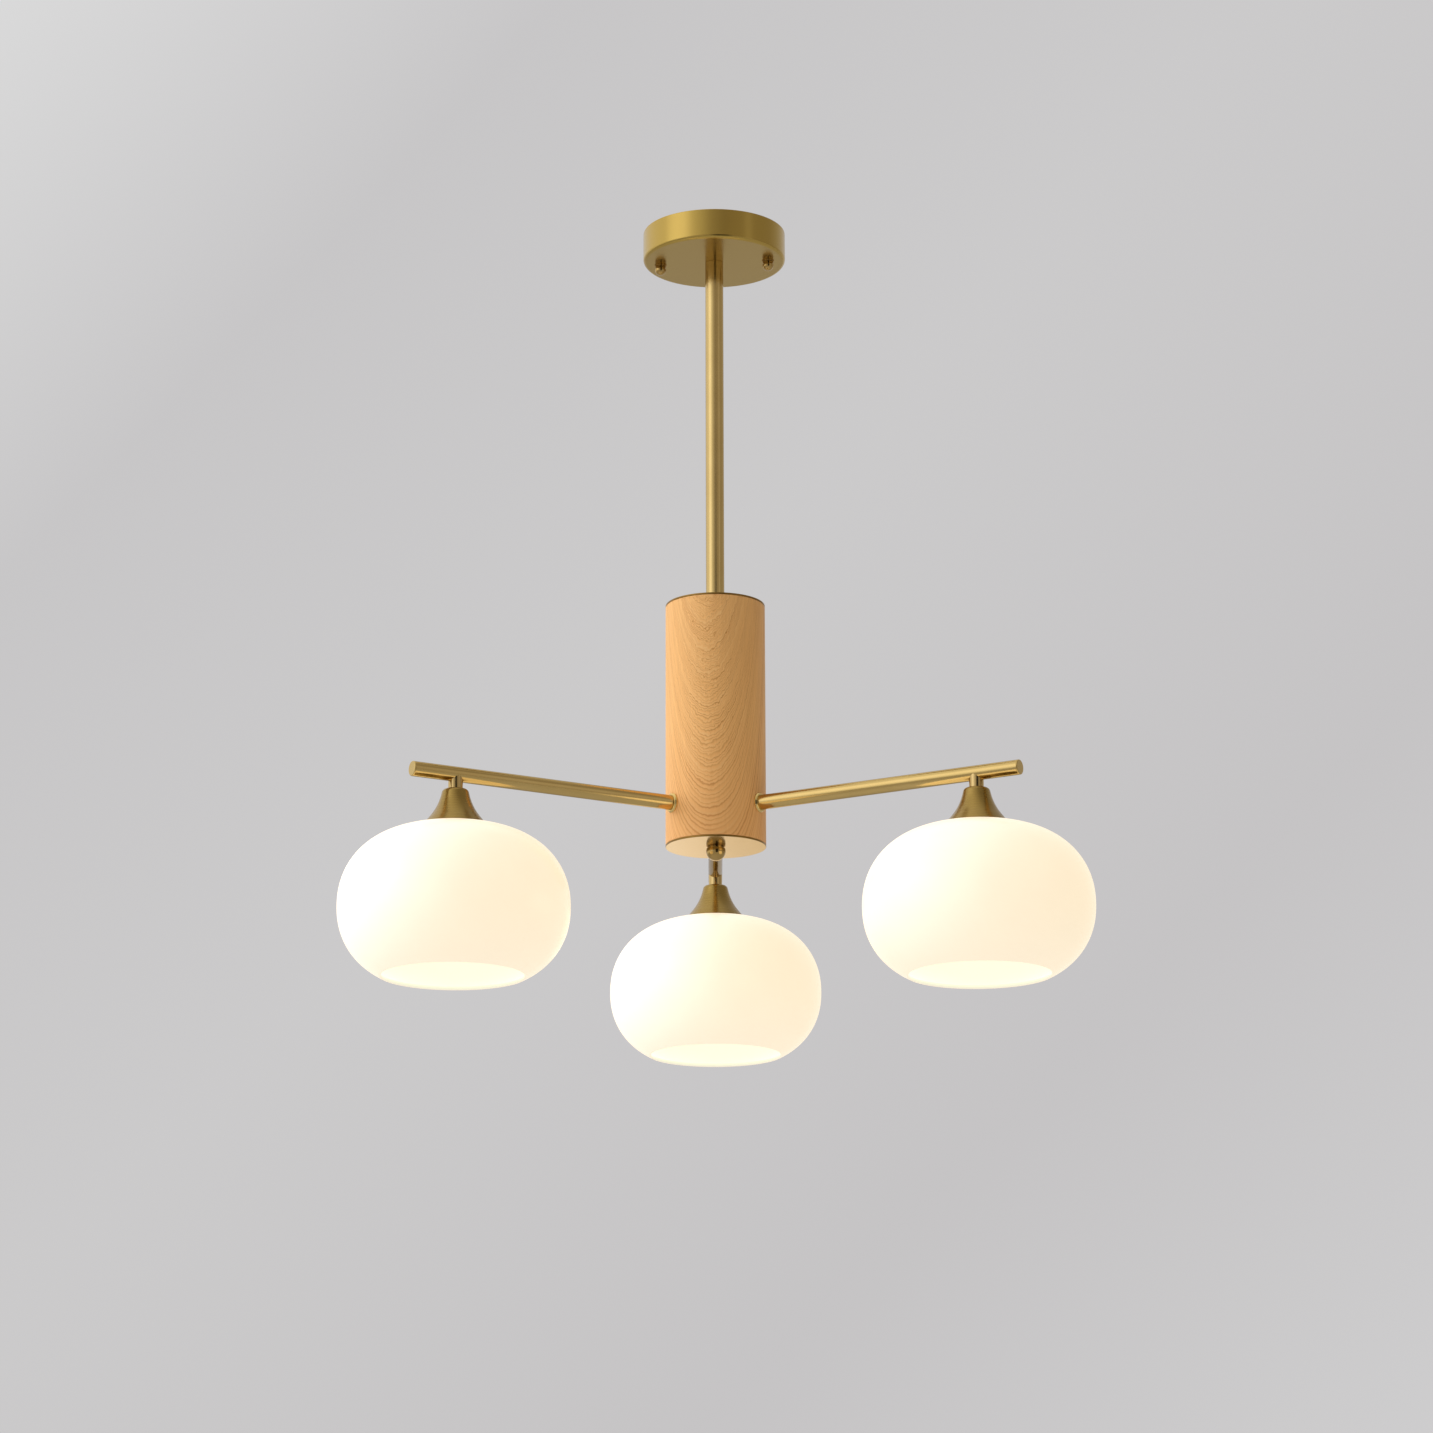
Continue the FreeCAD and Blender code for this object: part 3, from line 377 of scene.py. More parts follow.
def wood():
    """Slow-grown hardwood, sawn so that its growth rings cut the column's front in nested arches.

    A ring is a surface of equal distance from the pith, which runs behind the column's axis and
    leans away upwards: on the front the rings show as arches that open upwards, on the sides as
    straight lines.  The rings grow narrower outwards.
    """
    light, pale = (1.0, 0.68, 0.31), (0.96, 0.538, 0.192)
    deep, dark = (0.50, 0.178, 0.038), (0.36, 0.135, 0.032)
    honey, foot_tone = (0.82, 0.415, 0.125), (0.74, 0.355, 0.125)
    look = Look("beech", Specular_IOR_Level=0.12, Coat_Weight=0.03, Coat_Roughness=0.3)
    x, y, z = look.split(look.place("Object"))
    rise = look.math("SUBTRACT", z, WOOD_LOW)
    height = look.math("DIVIDE", rise, WOOD_HIGH - WOOD_LOW)
    count = ring_count(look, pith_distance(look, x, y, rise, height))
    year = look.math("FRACT", count)
    early = look.ramp(year, [(0.0, 0.3), (0.14, 1.0), (0.42, 0.0)])
    late = look.ramp(year, [(0.0, 0.1), (0.55, 0.0), (0.80, 1.0), (0.92, 0.7), (1.0, 0.1)])
    years = look.join(look.math("MULTIPLY", count, 0.37), look.math("MULTIPLY", x, 18.0), 0.0)
    bands = look.noise(years, 1.0, 2.0, 0.6)
    late = look.math("MULTIPLY", late, look.ramp(bands, [(0.36, 0.2), (0.64, 1.0)]))
    pores = look.noise(look.place("Object", (1, 1, 0.07)), 2300.0, 2.0, 0.6)
    pores = look.ramp(pores, [(0.54, 0.0), (0.74, 1.0)])
    fibres = look.noise(look.place("Object", (1, 1, 0.025)), 620.0, 4.0, 0.65)
    clouds = look.noise(look.place("Object", (1, 1, 0.3)), 14.0, 3.0, 0.5)
    colour = look.mix(look.math("MULTIPLY", early, 0.55), pale, light)
    colour = look.mix(look.math("MULTIPLY", late, 0.85), colour, deep)
    colour = look.mix(look.remap(fibres, -0.14, 0.30), colour, deep)
    colour = look.mix(look.math("MULTIPLY", pores, look.remap(late, 0.05, 0.34)), colour, dark)
    colour = look.mix(look.remap(clouds, -0.12, 0.30), colour, honey)
    colour = look.mix(look.ramp(height, [(0.0, 0.42), (0.5, 0.0)]), colour, foot_tone)
    look.set(Base_Color=colour, Roughness=look.remap(late, 0.44, 0.54))
    grooves = look.math("ADD", look.math("MULTIPLY", late, -0.6), look.math("MULTIPLY", pores, -0.6))
    relief = look.math("ADD", grooves, look.math("MULTIPLY", fibres, 0.25))
    look.set(Normal=look.bump(relief, 0.12 * MM))
    return look.material


def opal_glass(name, body, glow_colour, glow_strength):
    """Opal glass with a painted glow for the bulb's light: a milky body with a soft gloss, brightest a
    little above its middle.
    """
    bright_level, fall = middle("glass_shade_1").z + 8 * MM, 66 * MM
    look = Look(name, Base_Color=body, Roughness=0.32)
    z = look.split(look.place("Object"))[2]
    level = look.math("ABSOLUTE", look.math("SUBTRACT", z, bright_level))
    glow = look.ramp(look.math("DIVIDE", level, fall), [(0.0, 1.0), (0.5, 0.985), (1.0, 0.95)])
    cloud = look.noise(look.place("Object"), 30.0, 2.0, 0.5)
    strength = look.math("MULTIPLY", glow, look.remap(cloud, 0.97, 1.03))
    # The emission is painted light: the bulb's light through the glass, strongest a little above the
    # middle.
    look.set(Emission_Color=glow_colour)
    look.set(Emission_Strength=look.math("MULTIPLY", strength, glow_strength))
    look.set(Specular_IOR_Level=0.35, Coat_Weight=0.1, Coat_Roughness=0.2)
    look.set(Normal=look.bump(look.noise(look.place("Object"), 60.0, 1.0, 0.55), 0.15 * MM))
    return look.material


def bulb_glass():
    """Frosted glass, lit from inside."""
    look = Look("bulb_glass", Base_Color=(0.95, 0.93, 0.88), Roughness=0.3)
    cloud = look.noise(look.place("Object"), 50.0, 2.0, 0.5)
    look.set(Emission_Color=(1.0, 0.88, 0.66))
    look.set(Emission_Strength=look.remap(cloud, 0.95, 1.1))
    return look.material


def plastic(name, colour, roughness):
    """Moulded plastic with a fine spark-eroded texture."""
    look = Look(name)
    grain = look.noise(look.place("Object"), 3200.0, 2.0, 0.6)
    cloud = look.noise(look.place("Object"), 60.0, 2.0, 0.5)
    shade = tuple(channel * 0.93 for channel in colour)
    look.set(Base_Color=look.mix(look.remap(cloud, 0.0, 0.8), colour, shade))
    look.set(Roughness=look.remap(grain, roughness * 0.85, roughness * 1.15))
    look.set(Normal=look.bump(grain, 0.03 * MM))
    return look.material


def plated(name, colour, roughness):
    """Plated or rolled metal with fine scratches and a mottled finish."""
    look = Look(name, Metallic=1.0)
    scratches = look.noise(look.place("Object", (1, 0.08, 1)), 1800.0, 3.0, 0.6)
    mottle = look.noise(look.place("Object"), 260.0, 3.0, 0.6)
    shade = tuple(channel * 0.8 for channel in colour)
    look.set(Base_Color=look.mix(look.remap(mottle, 0.0, 0.7), colour, shade))
    look.set(Roughness=look.remap(scratches, roughness * 0.7, roughness * 1.3))
    look.set(Normal=look.bump(scratches, 0.02 * MM))
    return look.material


def make_looks():
    """Every material of the lamp, by the name that the pieces use."""
    opal_outside = opal_glass("opal_glass", (0.62, 0.62, 0.615), glow_colour=(1.0, 0.81, 0.517),
                              glow_strength=0.72)
    # The inside copy is a lit copy of the same glass: a darker body and a whiter, stronger painted
    # glow.
    opal_inside = opal_glass("opal_glass_inside", (0.30, 0.30, 0.28),
                             glow_colour=(1.0, 0.99, 0.73), glow_strength=0.76)
    return {
        # The brass tints are lit and shaded copies of one brass: the rod, arm and collar tints are
        # lighter, as painted light and painted highlight; the canopy, cup and turned tints are darker,
        # as painted shade.
        "rod_brass": brass("rod_brass", 0.19, DRAWN, 0.002 * MM, tint=(0.65, 0.46, 0.165),
                           lacquer=0.7, edge=(0.60, 0.53, 0.42)),
        "arm_brass": brass("arm_brass", 0.16, DRAWN, 0.002 * MM, tint=(0.63, 0.44, 0.150),
                           lacquer=0.4, edge=(0.55, 0.50, 0.43)),
        "spun_brass": brass("spun_brass", 0.22, SPUN, 0.003 * MM, tint=(0.51, 0.347, 0.082)),
        "cup_brass": brass("cup_brass", 0.26, SPUN, 0.003 * MM, tint=(0.345, 0.225, 0.060)),
        "satin_brass": brass("satin_brass", 0.24, SATIN, 0.002 * MM),
        "bright_brass": brass("bright_brass", 0.14, TURNED, 0.001 * MM, tint=BRIGHT_BRASS),
        "collar_brass": brass("collar_brass", 0.22, TURNED, 0.001 * MM, tint=(0.78, 0.56, 0.205)),
        "turned_brass": brass("turned_brass", 0.05, TURNED, 0.001 * MM, tint=(0.47, 0.31, 0.105)),
        "plate_brass": plate_brass(),
        "raw_brass": plated("raw_brass", (0.60, 0.42, 0.17), 0.3),
        "zinc": plated("zinc", (0.60, 0.61, 0.60), 0.34),
        "cap_metal": plated("cap_metal", (0.72, 0.71, 0.69), 0.28),
        "wood": wood(),
        "opal": opal_outside,
        "opal_inside": opal_inside,
        "bulb": bulb_glass(),
        "white_plastic": plastic("white_plastic", (0.80, 0.78, 0.73), 0.42),
        "sheath": plastic("sheath", (0.72, 0.71, 0.67), 0.5),
        "silicone": plastic("silicone", (0.66, 0.66, 0.63), 0.6),
    }


# ---- Pieces ----------------------------------------------------------------------------------


def stand_in(piece, look, slot, body, *nodes):
    """Gives a finished piece its material and its body, and hides the CAD nodes that it stands for."""
    piece.data.materials.clear()
    piece.data.materials.append(looks[look])
    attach(piece, body)
    if nodes:
        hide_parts(*nodes)
    return piece


def canopy():
    """A spun pan, open towards the ceiling, with a rolled lower edge."""
    wall, hole = 1.5 * MM, 5.1 * MM
    low, high, radius = CANOPY_LOW, CANOPY_HIGH, CANOPY_RADIUS
    outline = [(hole, low), (radius, low), (radius, high), (radius - wall, high),
               (radius - wall, low + wall), (hole, low + wall)]
    outline = rounded(outline, {1: 3.0 * MM, 2: 0.4 * MM, 3: 0.4 * MM, 4: 1.5 * MM})
    piece = turned("canopy_pan", outline, 192)
    stand_in(piece, "spun_brass", "satin_brass", "fixture", "canopy")


def place_turned(piece, axis):
    """Moves a piece turned about Z to another vertical axis."""
    piece.location = (axis.x, axis.y, 0)
    return piece


def washer(name, node, bore, edge, steps):
    """A thin ring of polished brass in the place of a washer."""
    low, high, radius = span(node)
    piece = turned(name, tube_outline(radius, bore, low, high, edge), steps)
    place_turned(piece, middle(node))
    stand_in(piece, "turned_brass", "polished_brass", node, node)


def cap_nut(word):
    """A domed nut with a groove, and the thin washer that it presses on the canopy."""
    low, high, radius = span(f"cap_nut_{word}")
    dome = low + radius
    bore, depth = 2.05 * MM, 5.4 * MM
    groove, groove_low, groove_high = 0.9 * MM, dome + 0.6 * MM, dome + 1.4 * MM
    shank, bevel = 0.3 * MM, 0.3 * MM
    outline = [(0, low)] + ball_arc(radius, dome, math.pi / 2, 12)
    outline += [(radius, dome + 0.3 * MM), (radius - groove, groove_low),
                (radius - groove, groove_high), (radius - shank, dome + 1.6 * MM),
                (radius - shank, high - bevel), (radius - shank - bevel, high), (bore, high),
                (bore, high - depth), (0, high - depth)]
    nut = turned(f"domed_nut_{word}", outline, 64)
    place_turned(nut, middle(f"cap_nut_{word}"))
    stand_in(nut, "turned_brass", "polished_brass", f"cap_nut_{word}", f"cap_nut_{word}")
    washer(f"thin_washer_{word}", f"cap_washer_{word}", bore, 0.15 * MM, 64)


def rod():
    """A drawn tube with slightly rounded outer ends."""
    bore, edge = ROD_RADIUS - 1.5 * MM, 0.25 * MM
    outline = rounded(tube_outline(ROD_RADIUS, bore, ROD_LOW, ROD_HIGH), {1: edge, 2: edge})
    stand_in(turned("drawn_rod", outline, 96), "rod_brass", "satin_brass", "fixture", "down_rod")


def column():
    """The wood with softened edges, and the brass plates on its ends."""
    pocket, pocket_depth, bore, edge = 19 * MM, 44.7 * MM, 6 * MM, 0.7 * MM
    outline = [(pocket, WOOD_LOW), (WOOD_RADIUS, WOOD_LOW), (WOOD_RADIUS, WOOD_HIGH),
               (bore, WOOD_HIGH), (bore, WOOD_LOW + pocket_depth), (pocket, WOOD_LOW + pocket_depth)]
    piece = turned("turned_column", rounded(outline, {1: edge, 2: edge}), 256)
    stand_in(piece, "wood", "beech", "fixture", "wood_column")
    plate_hole, plate_edge = 5 * MM, 0.35 * MM
    for end in ("top", "bottom"):
        low, high, radius = span(f"column_{end}_plate")
        outline = rounded(tube_outline(radius, plate_hole, low, high), {1: plate_edge, 2: plate_edge})
        plate = turned(f"{end}_disc", outline, 192)
        stand_in(plate, "plate_brass", "polished_brass", "fixture", f"column_{end}_plate")


def finial():
    """A ball nut, cut flat on top and bored for its rod, and the washer above it."""
    low, high, radius = span("finial_nut")
    centre, bore, depth = low + radius, 4.05 * MM, 6.9 * MM
    outline = [(0, low)] + ball_arc(radius, centre, math.acos((centre - high) / radius), 24)
    outline += [(bore, high), (bore, high - depth), (0, high - depth)]
    stand_in(turned("ball_nut", outline, 96), "turned_brass", "polished_brass", "finial_nut",
             "finial_nut")
    washer("ball_washer", "finial_washer", bore, 0.2 * MM, 96)


def point_along_arm(piece, lamp):
    """Turns a piece made about Z to lie along an arm's axis."""
    piece.rotation_mode = "QUATERNION"
    piece.rotation_quaternion = UP.rotation_difference(lamp_axis(lamp).normalized())
    piece.location = (0, 0, ARM_LEVEL)


def arm(lamp):
    """A drawn tube that runs level from the hub to its end cap, and the cap's plug."""
    bore, plug = ARM_RADIUS - 1.5 * MM, ARM_END - 6 * MM
    outline = tube_outline(ARM_RADIUS, bore, ARM_START, ARM_END)
    tube = turned(f"drawn_arm_{lamp}", rounded(outline, {2: 0.15 * MM}), 96)
    outline = [(0, plug), (bore, plug), (bore, ARM_END), (ARM_RADIUS, ARM_END),
               (ARM_RADIUS, ARM_TIP), (0, ARM_TIP)]
    cap = turned(f"arm_plug_{lamp}", rounded(outline, {3: 0.15 * MM, 4: 0.8 * MM}), 96)
    for piece in (tube, cap):
        point_along_arm(piece, lamp)
    stand_in(tube, "arm_brass", "satin_brass", "fixture", f"arm_tube_{lamp}")
    stand_in(cap, "satin_brass", "satin_brass", "fixture", "arm_end_caps")


def collar(lamp):
    """A collar with a bevelled face, round the arm where it leaves the wood."""
    reach = max(abs(value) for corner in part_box("arm_collars") for value in corner.xy)
    bush, foot, lip = 7 * MM, 8.1 * MM, 7.2 * MM
    inner_end, sunk, bevel = 20 * MM, WOOD_RADIUS - 4 * MM, WOOD_RADIUS + 0.4 * MM
    outline = [(ARM_RADIUS, inner_end), (bush, inner_end), (bush, sunk), (foot, sunk),
               (foot, bevel), (lip, reach), (ARM_RADIUS, reach)]
    outline = rounded(outline, {4: 0.3 * MM, 5: 0.6 * MM})
    piece = turned(f"flared_collar_{lamp}", outline, 96)
    point_along_arm(piece, lamp)
    stand_in(piece, "collar_brass", "satin_brass", "fixture", "arm_collars")


def cup(lamp):
    """A spun cone with a drawn-in waist, a rounded shoulder and a thin rim."""
    low, high, radius = span(f"lamp_cup_{lamp}")
    wall, hole, top = 1.2 * MM, 5 * MM, 10.0 * MM
    waist, waist_level, waist_round = 13.0 * MM, low + 15.7 * MM, 45 * MM
    outline = [(radius - wall, low), (radius, low), (waist, waist_level), (top, high), (hole, high),
               (hole, high - wall), (top - wall, high - wall), (waist - wall, waist_level)]
    rounds = {0: 0.4 * MM, 1: 0.5 * MM, 2: waist_round, 3: 3.2 * MM, 6: 1.4 * MM, 7: waist_round}
    piece = place_turned(turned(f"spun_cup_{lamp}", rounded(outline, rounds), 160), lamp_axis(lamp))
    stand_in(piece, "cup_brass", "satin_brass", "fixture", f"lamp_cup_{lamp}")


# A globe's section is a superellipse about its widest level, with a height and a pair of powers
# (across, upwards) for its upper and its lower part, cut off at the hole and at the mouth.
GLOBE_UPPER, GLOBE_LOWER = 64.3 * MM, 64.1 * MM
GLOBE_RADIUS, GLOBE_WALL = 90 * MM, 3 * MM
GLOBE_HOLE, GLOBE_MOUTH = 20.5 * MM, 56.6 * MM
UPPER_POWERS, LOWER_POWERS = (2.68, 2.14), (2.56, 2.19)


def globe_point(angle):
    """A point of the globe's superellipse and its outward normal."""
    upper = angle >= 0
    height = GLOBE_UPPER if upper else GLOBE_LOWER
    power_r, power_z = UPPER_POWERS if upper else LOWER_POWERS
    radius = GLOBE_RADIUS * abs(math.cos(angle)) ** (2 / power_r)
    rise = height * abs(math.sin(angle)) ** (2 / power_z)
    normal = Vector((power_r / GLOBE_RADIUS * (radius / GLOBE_RADIUS) ** (power_r - 1),
                     math.copysign(power_z / height * (rise / height) ** (power_z - 1), angle)))
    return Vector((radius, math.copysign(rise, angle))), normal.normalized()


def globe_outline():
    """Outside from the hole to the mouth, a full round lip, and back up the inside."""
    steps, lip_steps = 40, 8
    top = math.acos((GLOBE_HOLE / GLOBE_RADIUS) ** (UPPER_POWERS[0] / 2))
    mouth = -math.acos((GLOBE_MOUTH / GLOBE_RADIUS) ** (LOWER_POWERS[0] / 2))
    angles = [top * (1 - step / steps) for step in range(steps)]
    angles += [mouth * step / steps for step in range(steps + 1)]
    sides = [globe_point(angle) for angle in angles]
    outside = [tuple(point) for point, normal in sides]
    inside = [tuple(point - normal * GLOBE_WALL) for point, normal in reversed(sides)]
    end, normal = sides[-1]
    along = Vector((normal.y, -normal.x))
    centre = end - normal * (GLOBE_WALL / 2)
    lip = []
    for step in range(1, lip_steps):
        turn = math.pi * step / lip_steps
        lip.append(tuple(centre + normal * (GLOBE_WALL / 2 * math.cos(turn))
                         + along * (GLOBE_WALL / 2 * math.sin(turn))))
    return outside + lip + inside


def globe(lamp):
    """The opal glass, its painted glow brighter inside than outside, and the gasket under its upper
    wall.
    """
    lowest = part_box(f"glass_shade_{lamp}")[0].z
    outline = globe_outline()
    lift = lowest - min(height for radius, height in outline)
    outline = [(radius, height + lift) for radius, height in outline]
    piece = place_turned(turned(f"opal_globe_{lamp}", outline, 192), lamp_axis(lamp))
    stand_in(piece, "opal", "opal_glass", f"shade_{lamp}", f"glass_shade_{lamp}")
    piece.data.materials.append(looks["opal_inside"])
    heart = Vector((0, 0, middle(f"glass_shade_{lamp}").z))
    for face in piece.data.polygons:
        face.material_index = int(face.normal.dot(face.center - heart) < 0)
    low, high, radius = span(f"shade_gasket_{lamp}")
    outline = tube_outline(radius, 20.3 * MM, low, high, 0.3 * MM)
    gasket = place_turned(turned(f"globe_gasket_{lamp}", outline, 96), lamp_axis(lamp))
    stand_in(gasket, "silicone", "silicone", f"shade_{lamp}", f"shade_gasket_{lamp}")


def ring(lamp):
    """The clamping ring, with a knurled flange for the fingers."""
    low, high, radius = span(f"shade_ring_{lamp}")
    bore, barrel, flange = 19.06 * MM, 21.6 * MM, high - 2.6 * MM
    knurls, knurl_depth = 36, 0.5 * MM
    outline = [(bore, low), (barrel, low), (barrel, flange), (radius, flange), (radius, high),
               (bore, high)]
    outline = rounded(outline, {1: 0.6 * MM, 2: 0.5 * MM, 3: 0.6 * MM})

    def knurling(angle, r, height):
        reach = max(0.0, (r - barrel) / (radius - barrel))
        return -knurl_depth * reach * (0.5 + 0.5 * math.cos(knurls * angle)) ** 3

    piece = place_turned(turned(f"clamp_ring_{lamp}", outline, 288, knurling), lamp_axis(lamp))
    stand_in(piece, "white_plastic", "white_plastic", f"ring_{lamp}", f"shade_ring_{lamp}")


def lamp_holder(lamp):
    """The insulating body with its outside thread, and the threaded shell inside it."""
    low, high, radius = span(f"socket_{lamp}")
    mouth, floor, barrel = 14.2 * MM, low + 32 * MM, low + 38 * MM
    cone, cone_level, top = 13.6 * MM, barrel + 8 * MM, 9.3 * MM
    tube_hole, tube_end, wire_hole = 5 * MM, high - 4.5 * MM, 2 * MM
    outline = [(mouth, low), (radius - 1.0 * MM, low)]
    outline += thread(radius, 0.9 * MM, low + 1.5 * MM, barrel - 4 * MM, 3.0 * MM)
    outline += [(radius, barrel), (cone, cone_level), (top, high), (tube_hole, high),
                (tube_hole, tube_end), (wire_hole, tube_end), (wire_hole, floor), (mouth, floor)]
    piece = place_turned(turned(f"holder_body_{lamp}", outline, 96), lamp_axis(lamp))
    stand_in(piece, "white_plastic", "white_plastic", "fixture", f"socket_{lamp}")
    low, high, radius = span(f"socket_shell_{lamp}")
    outline = [(radius, low), (radius, high)]
    outline += reversed(thread(radius - 0.35 * MM, 0.55 * MM, low, high, E27_PITCH))
    piece = place_turned(turned(f"holder_shell_{lamp}", outline, 96), lamp_axis(lamp))
    stand_in(piece, "raw_brass", "raw_brass", "fixture", f"socket_shell_{lamp}")


def bulb(lamp):
    """The frosted envelope, a ball that runs straight into its neck, and the rolled screw cap."""
    low, high, radius = span(f"bulb_glass_{lamp}")
    wall, neck, tucked = 1.0 * MM, 13.0 * MM, 12.4 * MM
    centre = low + radius
    shoulder = centre + 38 * MM
    to_neck = math.hypot(neck, shoulder - centre)
    tangent = math.atan2(shoulder - centre, neck) - math.acos(radius / to_neck)
    outline = [(0, low)] + ball_arc(radius, centre, math.pi / 2 + tangent, 32)
    outline += [(neck, shoulder), (neck - 0.4 * MM, shoulder + 0.8 * MM),
                (tucked, shoulder + 2 * MM), (tucked, high)]
    outline += [(max(0.0, r - wall), z + (wall if r < ON_AXIS else 0)) for r, z in
                reversed(outline)]
    glass = place_turned(turned(f"bulb_envelope_{lamp}", outline, 96), lamp_axis(lamp))
    stand_in(glass, "bulb", "frosted_glass", f"bulb_{lamp}", f"bulb_glass_{lamp}")
    low, high, radius = span(f"bulb_cap_{lamp}")
    lid, sheet = 9 * MM, 0.6 * MM
    outline = [(radius - 0.6 * MM, low), (radius - 0.1 * MM, low)]
    outline += thread(radius, 0.9 * MM, low + 1.5 * MM, high - 3.5 * MM, E27_PITCH)
    outline += [(lid, high), (0, high), (0, high - sheet), (lid - 0.3 * MM, high - sheet),
                (radius - 1.6 * MM, high - 3.8 * MM)]
    cap = place_turned(turned(f"bulb_screw_{lamp}", outline, 96), lamp_axis(lamp))
    stand_in(cap, "cap_metal", "bulb_cap", f"bulb_{lamp}", f"bulb_cap_{lamp}")


# The small pieces that keep their CAD shape, by the material that they get.
CAD_LOOKS = {
    "bright_brass": ["arm_necks"],
    "raw_brass": ["rod_bushes", "hanger_nipple", "column_nipple", "arm_hub", "finial_rod",
                  "socket_nipples", "cup_nuts", "hanger_lock_nut", "socket_contacts",
                  "bulb_contact_1", "bulb_contact_2", "bulb_contact_3"],
    "zinc": ["mounting_bar", "bar_studs", "earth_screw", "hub_set_screws"],
    "white_plastic": ["terminal_block"],
    "sheath": ["supply_cable", "arm_wires"],
}


def dress_cad_nodes():
    """Gives the pieces that keep their CAD shape a material and smooth shading."""
    for look, nodes in CAD_LOOKS.items():
        for name in nodes:
            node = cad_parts[name]
            node.data.materials.clear()
            node.data.materials.append(looks[look])
            for face in node.data.polygons:
                face.use_smooth = True
            node.data.set_sharp_from_angle(angle=CAD_CREASE)


# ---- Stage, light and camera -----------------------------------------------------------------

COOL = (0.93, 0.97, 1.16)
COLUMN_HEART = Vector((0, 0, -0.4))


def stage():
    """A plain pale floor below the lamp."""
    level, radius = -3.2, 14
    look = Look("pale_floor", Roughness=0.8)
    cloud = look.noise(look.place("Object"), 0.6, 3.0, 0.5)
    look.set(Base_Color=look.mix(cloud, (0.62, 0.61, 0.61), (0.66, 0.65, 0.65)))
    bpy.ops.mesh.primitive_circle_add(vertices=96, radius=radius, fill_type="NGON",
                                      location=(0, 0, level))
    floor = bpy.context.object
    floor.name = "floor"
    floor.data.materials.append(look.material)


def towards(nodes, axis, stops):
    """Colour stops over the direction, from 0 where it leaves the axis to 1 along the axis."""
    across = nodes.add("VectorMath")
    across.operation = "DOT_PRODUCT"
    across.inputs[1].default_value = Vector(axis).normalized()
    nodes.link(nodes.add("TexCoord").outputs["Generated"], across.inputs[0])
    return nodes.ramp(nodes.math("MULTIPLY_ADD", across.outputs["Value"], 0.5, 0.5), stops)


def surroundings():
    """A pale studio, white up and to the left, darker and warmer to the right and in front.

    The camera sees the stops from 0.45 to 0.72 of the first ramp as its background, and none of
    the second ramp's warmth.
    """
    world = bpy.data.worlds.new("studio")
    bpy.context.scene.world = world
    world.use_nodes = True
    nodes = Nodes(world.node_tree)
    nodes.tree.nodes.clear()
    grade = towards(nodes, (-0.75, 0.0, 0.75),
                    [(0.45, (0.63, 0.625, 0.63)), (0.53, (0.562, 0.550, 0.556)),
                     (0.60, (0.60, 0.592, 0.596)), (0.66, (0.575, 0.566, 0.572)),
                     (0.72, (0.74, 0.74, 0.74)), (0.90, (0.98, 0.98, 0.98))])
    shade = towards(nodes, (0.86, -0.5, 0.0), [(0.45, (1.0, 1.0, 1.0)), (0.85, (0.60, 0.55, 0.47))])
    background = nodes.add("Background", Color=nodes.mix(1.0, grade, shade, "MULTIPLY"))
    nodes.add("OutputWorld", Surface=background.outputs[0])


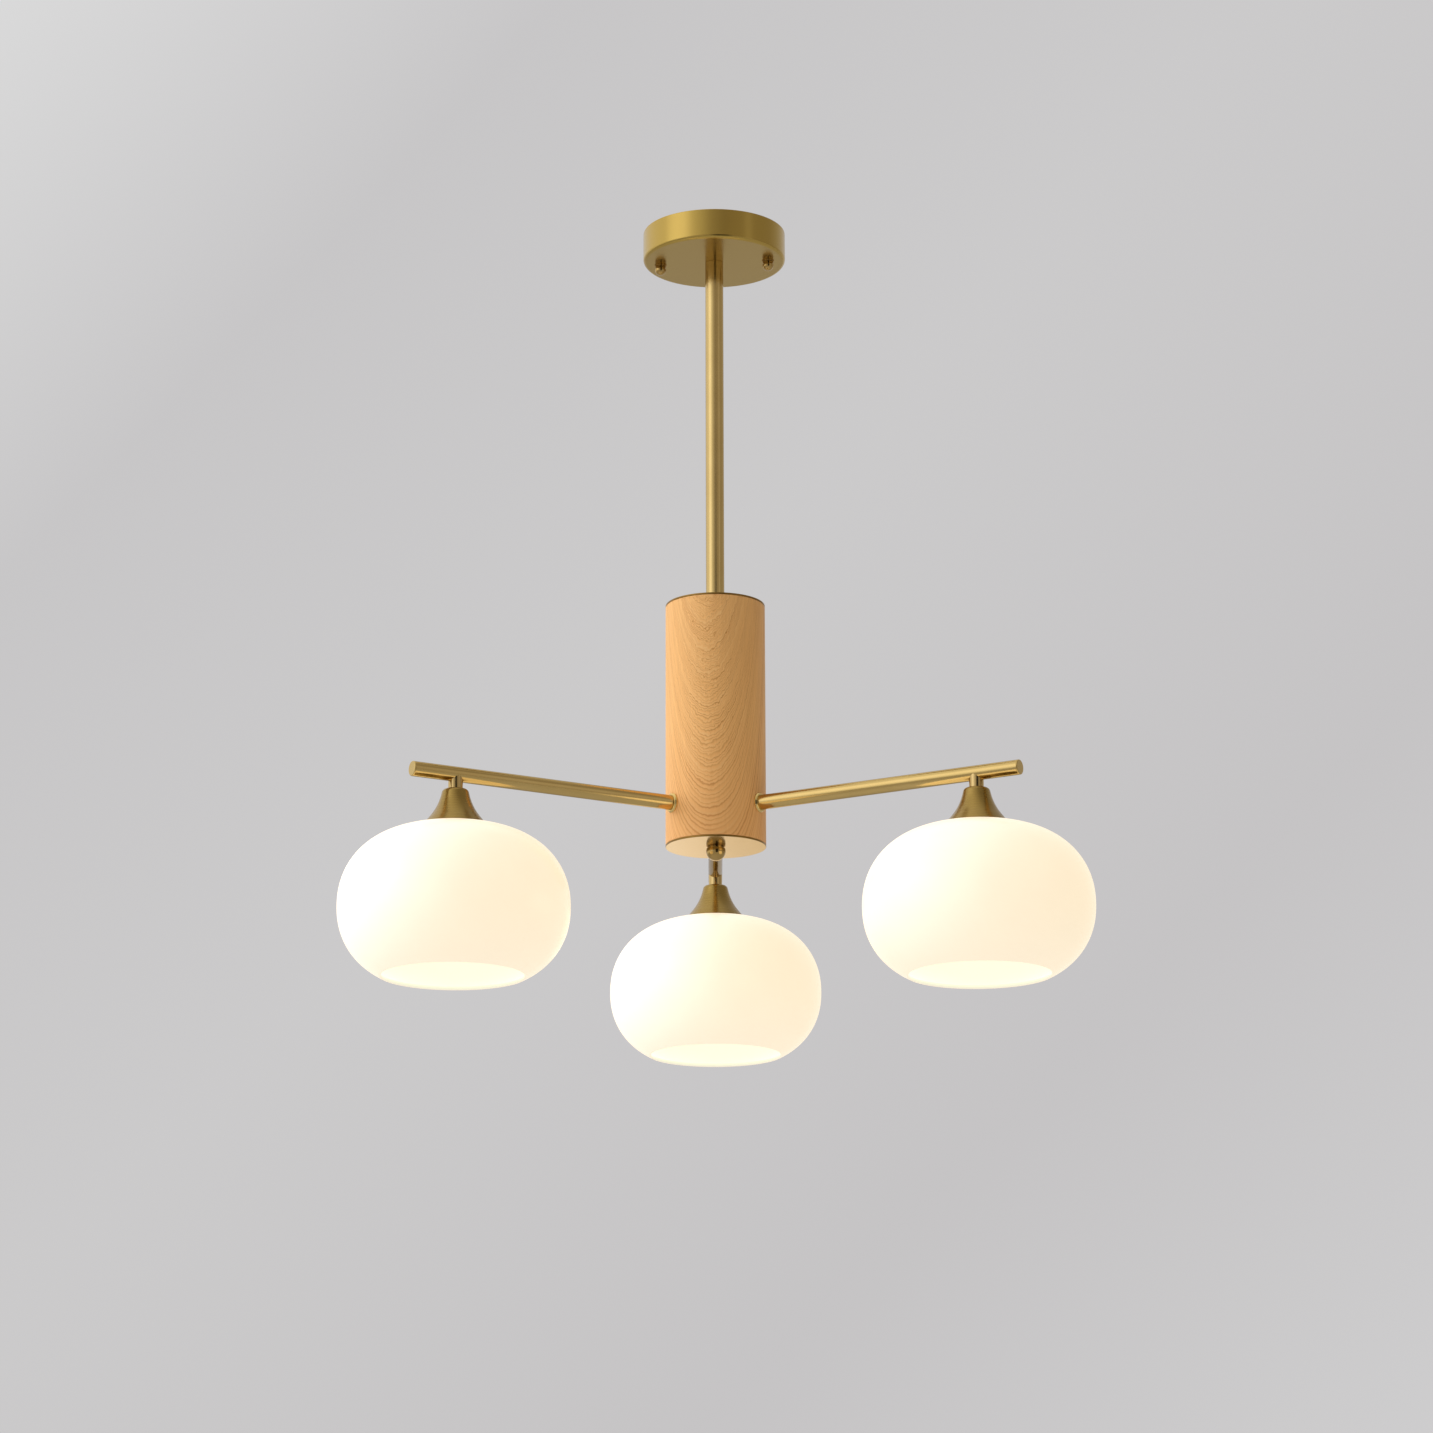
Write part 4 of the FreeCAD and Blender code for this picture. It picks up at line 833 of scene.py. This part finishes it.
def soft_box(name, place, size, power, matt=True, mirrored=True):
    """A cool rectangular soft light that faces the column and fades out towards its edges.

    It can be kept from matt surfaces or from mirroring ones.
    """
    data = bpy.data.lights.new(name, "AREA")
    data.shape = "RECTANGLE"
    data.size, data.size_y = size
    data.energy = power
    data.color = COOL
    data.use_nodes = True
    nodes = Nodes(data.node_tree)
    x, y, depth = nodes.split(nodes.add("NewGeometry").outputs["Parametric"])
    # The humps over x and y reach a quarter each in the middle, so 16 makes their product one.
    fade = 16.0
    for across in (x, y):
        hump = nodes.math("MULTIPLY", across, nodes.math("SUBTRACT", 1.0, across))
        fade = nodes.math("MULTIPLY", hump, fade)
    nodes.link(fade, nodes.tree.nodes["Emission"].inputs["Strength"])
    light = bpy.data.objects.new(name, data)
    light.visible_camera = False
    light.visible_diffuse = matt
    light.visible_glossy = mirrored
    bpy.context.scene.collection.objects.link(light)
    light.location = place
    light.rotation_mode = "QUATERNION"
    light.rotation_quaternion = (COLUMN_HEART - Vector(place)).to_track_quat("-Z", "Y")


def lights():
    """A key at the left with a core that only mirrors, a fill for matt surfaces, a faint strip."""
    key_place = (-2.6, -1.5, 0.65)
    soft_box("key", key_place, (2.6, 3.5), power=15)
    soft_box("side", (-3.0, -0.3, 0.3), (2.4, 2.4), power=112, mirrored=False)
    soft_box("core", key_place, (0.8, 0.9), power=7, matt=False)
    soft_box("strip", (2.6, -1.7, 0.3), (0.9, 3.0), power=1.8, matt=False)


def flag():
    """A dark card behind the camera and to its right, seen only in mirror images."""
    width, height = 1.9, 2.8
    look = Look("flag_cloth", Base_Color=(0.03, 0.03, 0.03), Roughness=0.9)
    bpy.ops.mesh.primitive_plane_add(size=1, location=(0.75, -3.7, -0.6),
                                     rotation=(math.radians(90), 0, 0))
    card = bpy.context.object
    card.name = "flag"
    card.scale = (width, height, 1)
    card.data.materials.append(look.material)
    card.visible_camera = card.visible_diffuse = card.visible_shadow = False


def camera():
    """A long lens in front of the lamp and below it, tilted up at it; the angles are degrees."""
    place = (-0.00706, -3.2131, -1.2620)
    pan, tilt, roll = -0.14, 14.759, -0.173
    data = bpy.data.cameras.new("camera")
    data.lens = 103.17
    data.sensor_width = 36
    view = bpy.data.objects.new("camera", data)
    bpy.context.scene.collection.objects.link(view)
    turn = (Matrix.Rotation(math.radians(pan), 4, "Z")
            @ Matrix.Rotation(math.radians(90 + tilt), 4, "X")
            @ Matrix.Rotation(math.radians(roll), 4, "Z"))
    view.matrix_world = Matrix.Translation(place) @ turn
    bpy.context.scene.camera = view


scene = bpy.context.scene
scene.view_settings.view_transform = "Standard"
scene.view_settings.look = "None"
scene.cycles.use_denoising = True

looks = make_looks()
camera()
stage()
surroundings()
lights()
flag()

canopy()
rod()
column()
finial()
for word in ("left", "right"):
    cap_nut(word)
for lamp in LAMPS:
    arm(lamp)
    collar(lamp)
    cup(lamp)
    globe(lamp)
    ring(lamp)
    lamp_holder(lamp)
    bulb(lamp)
dress_cad_nodes()

bpy.context.view_layer.update()
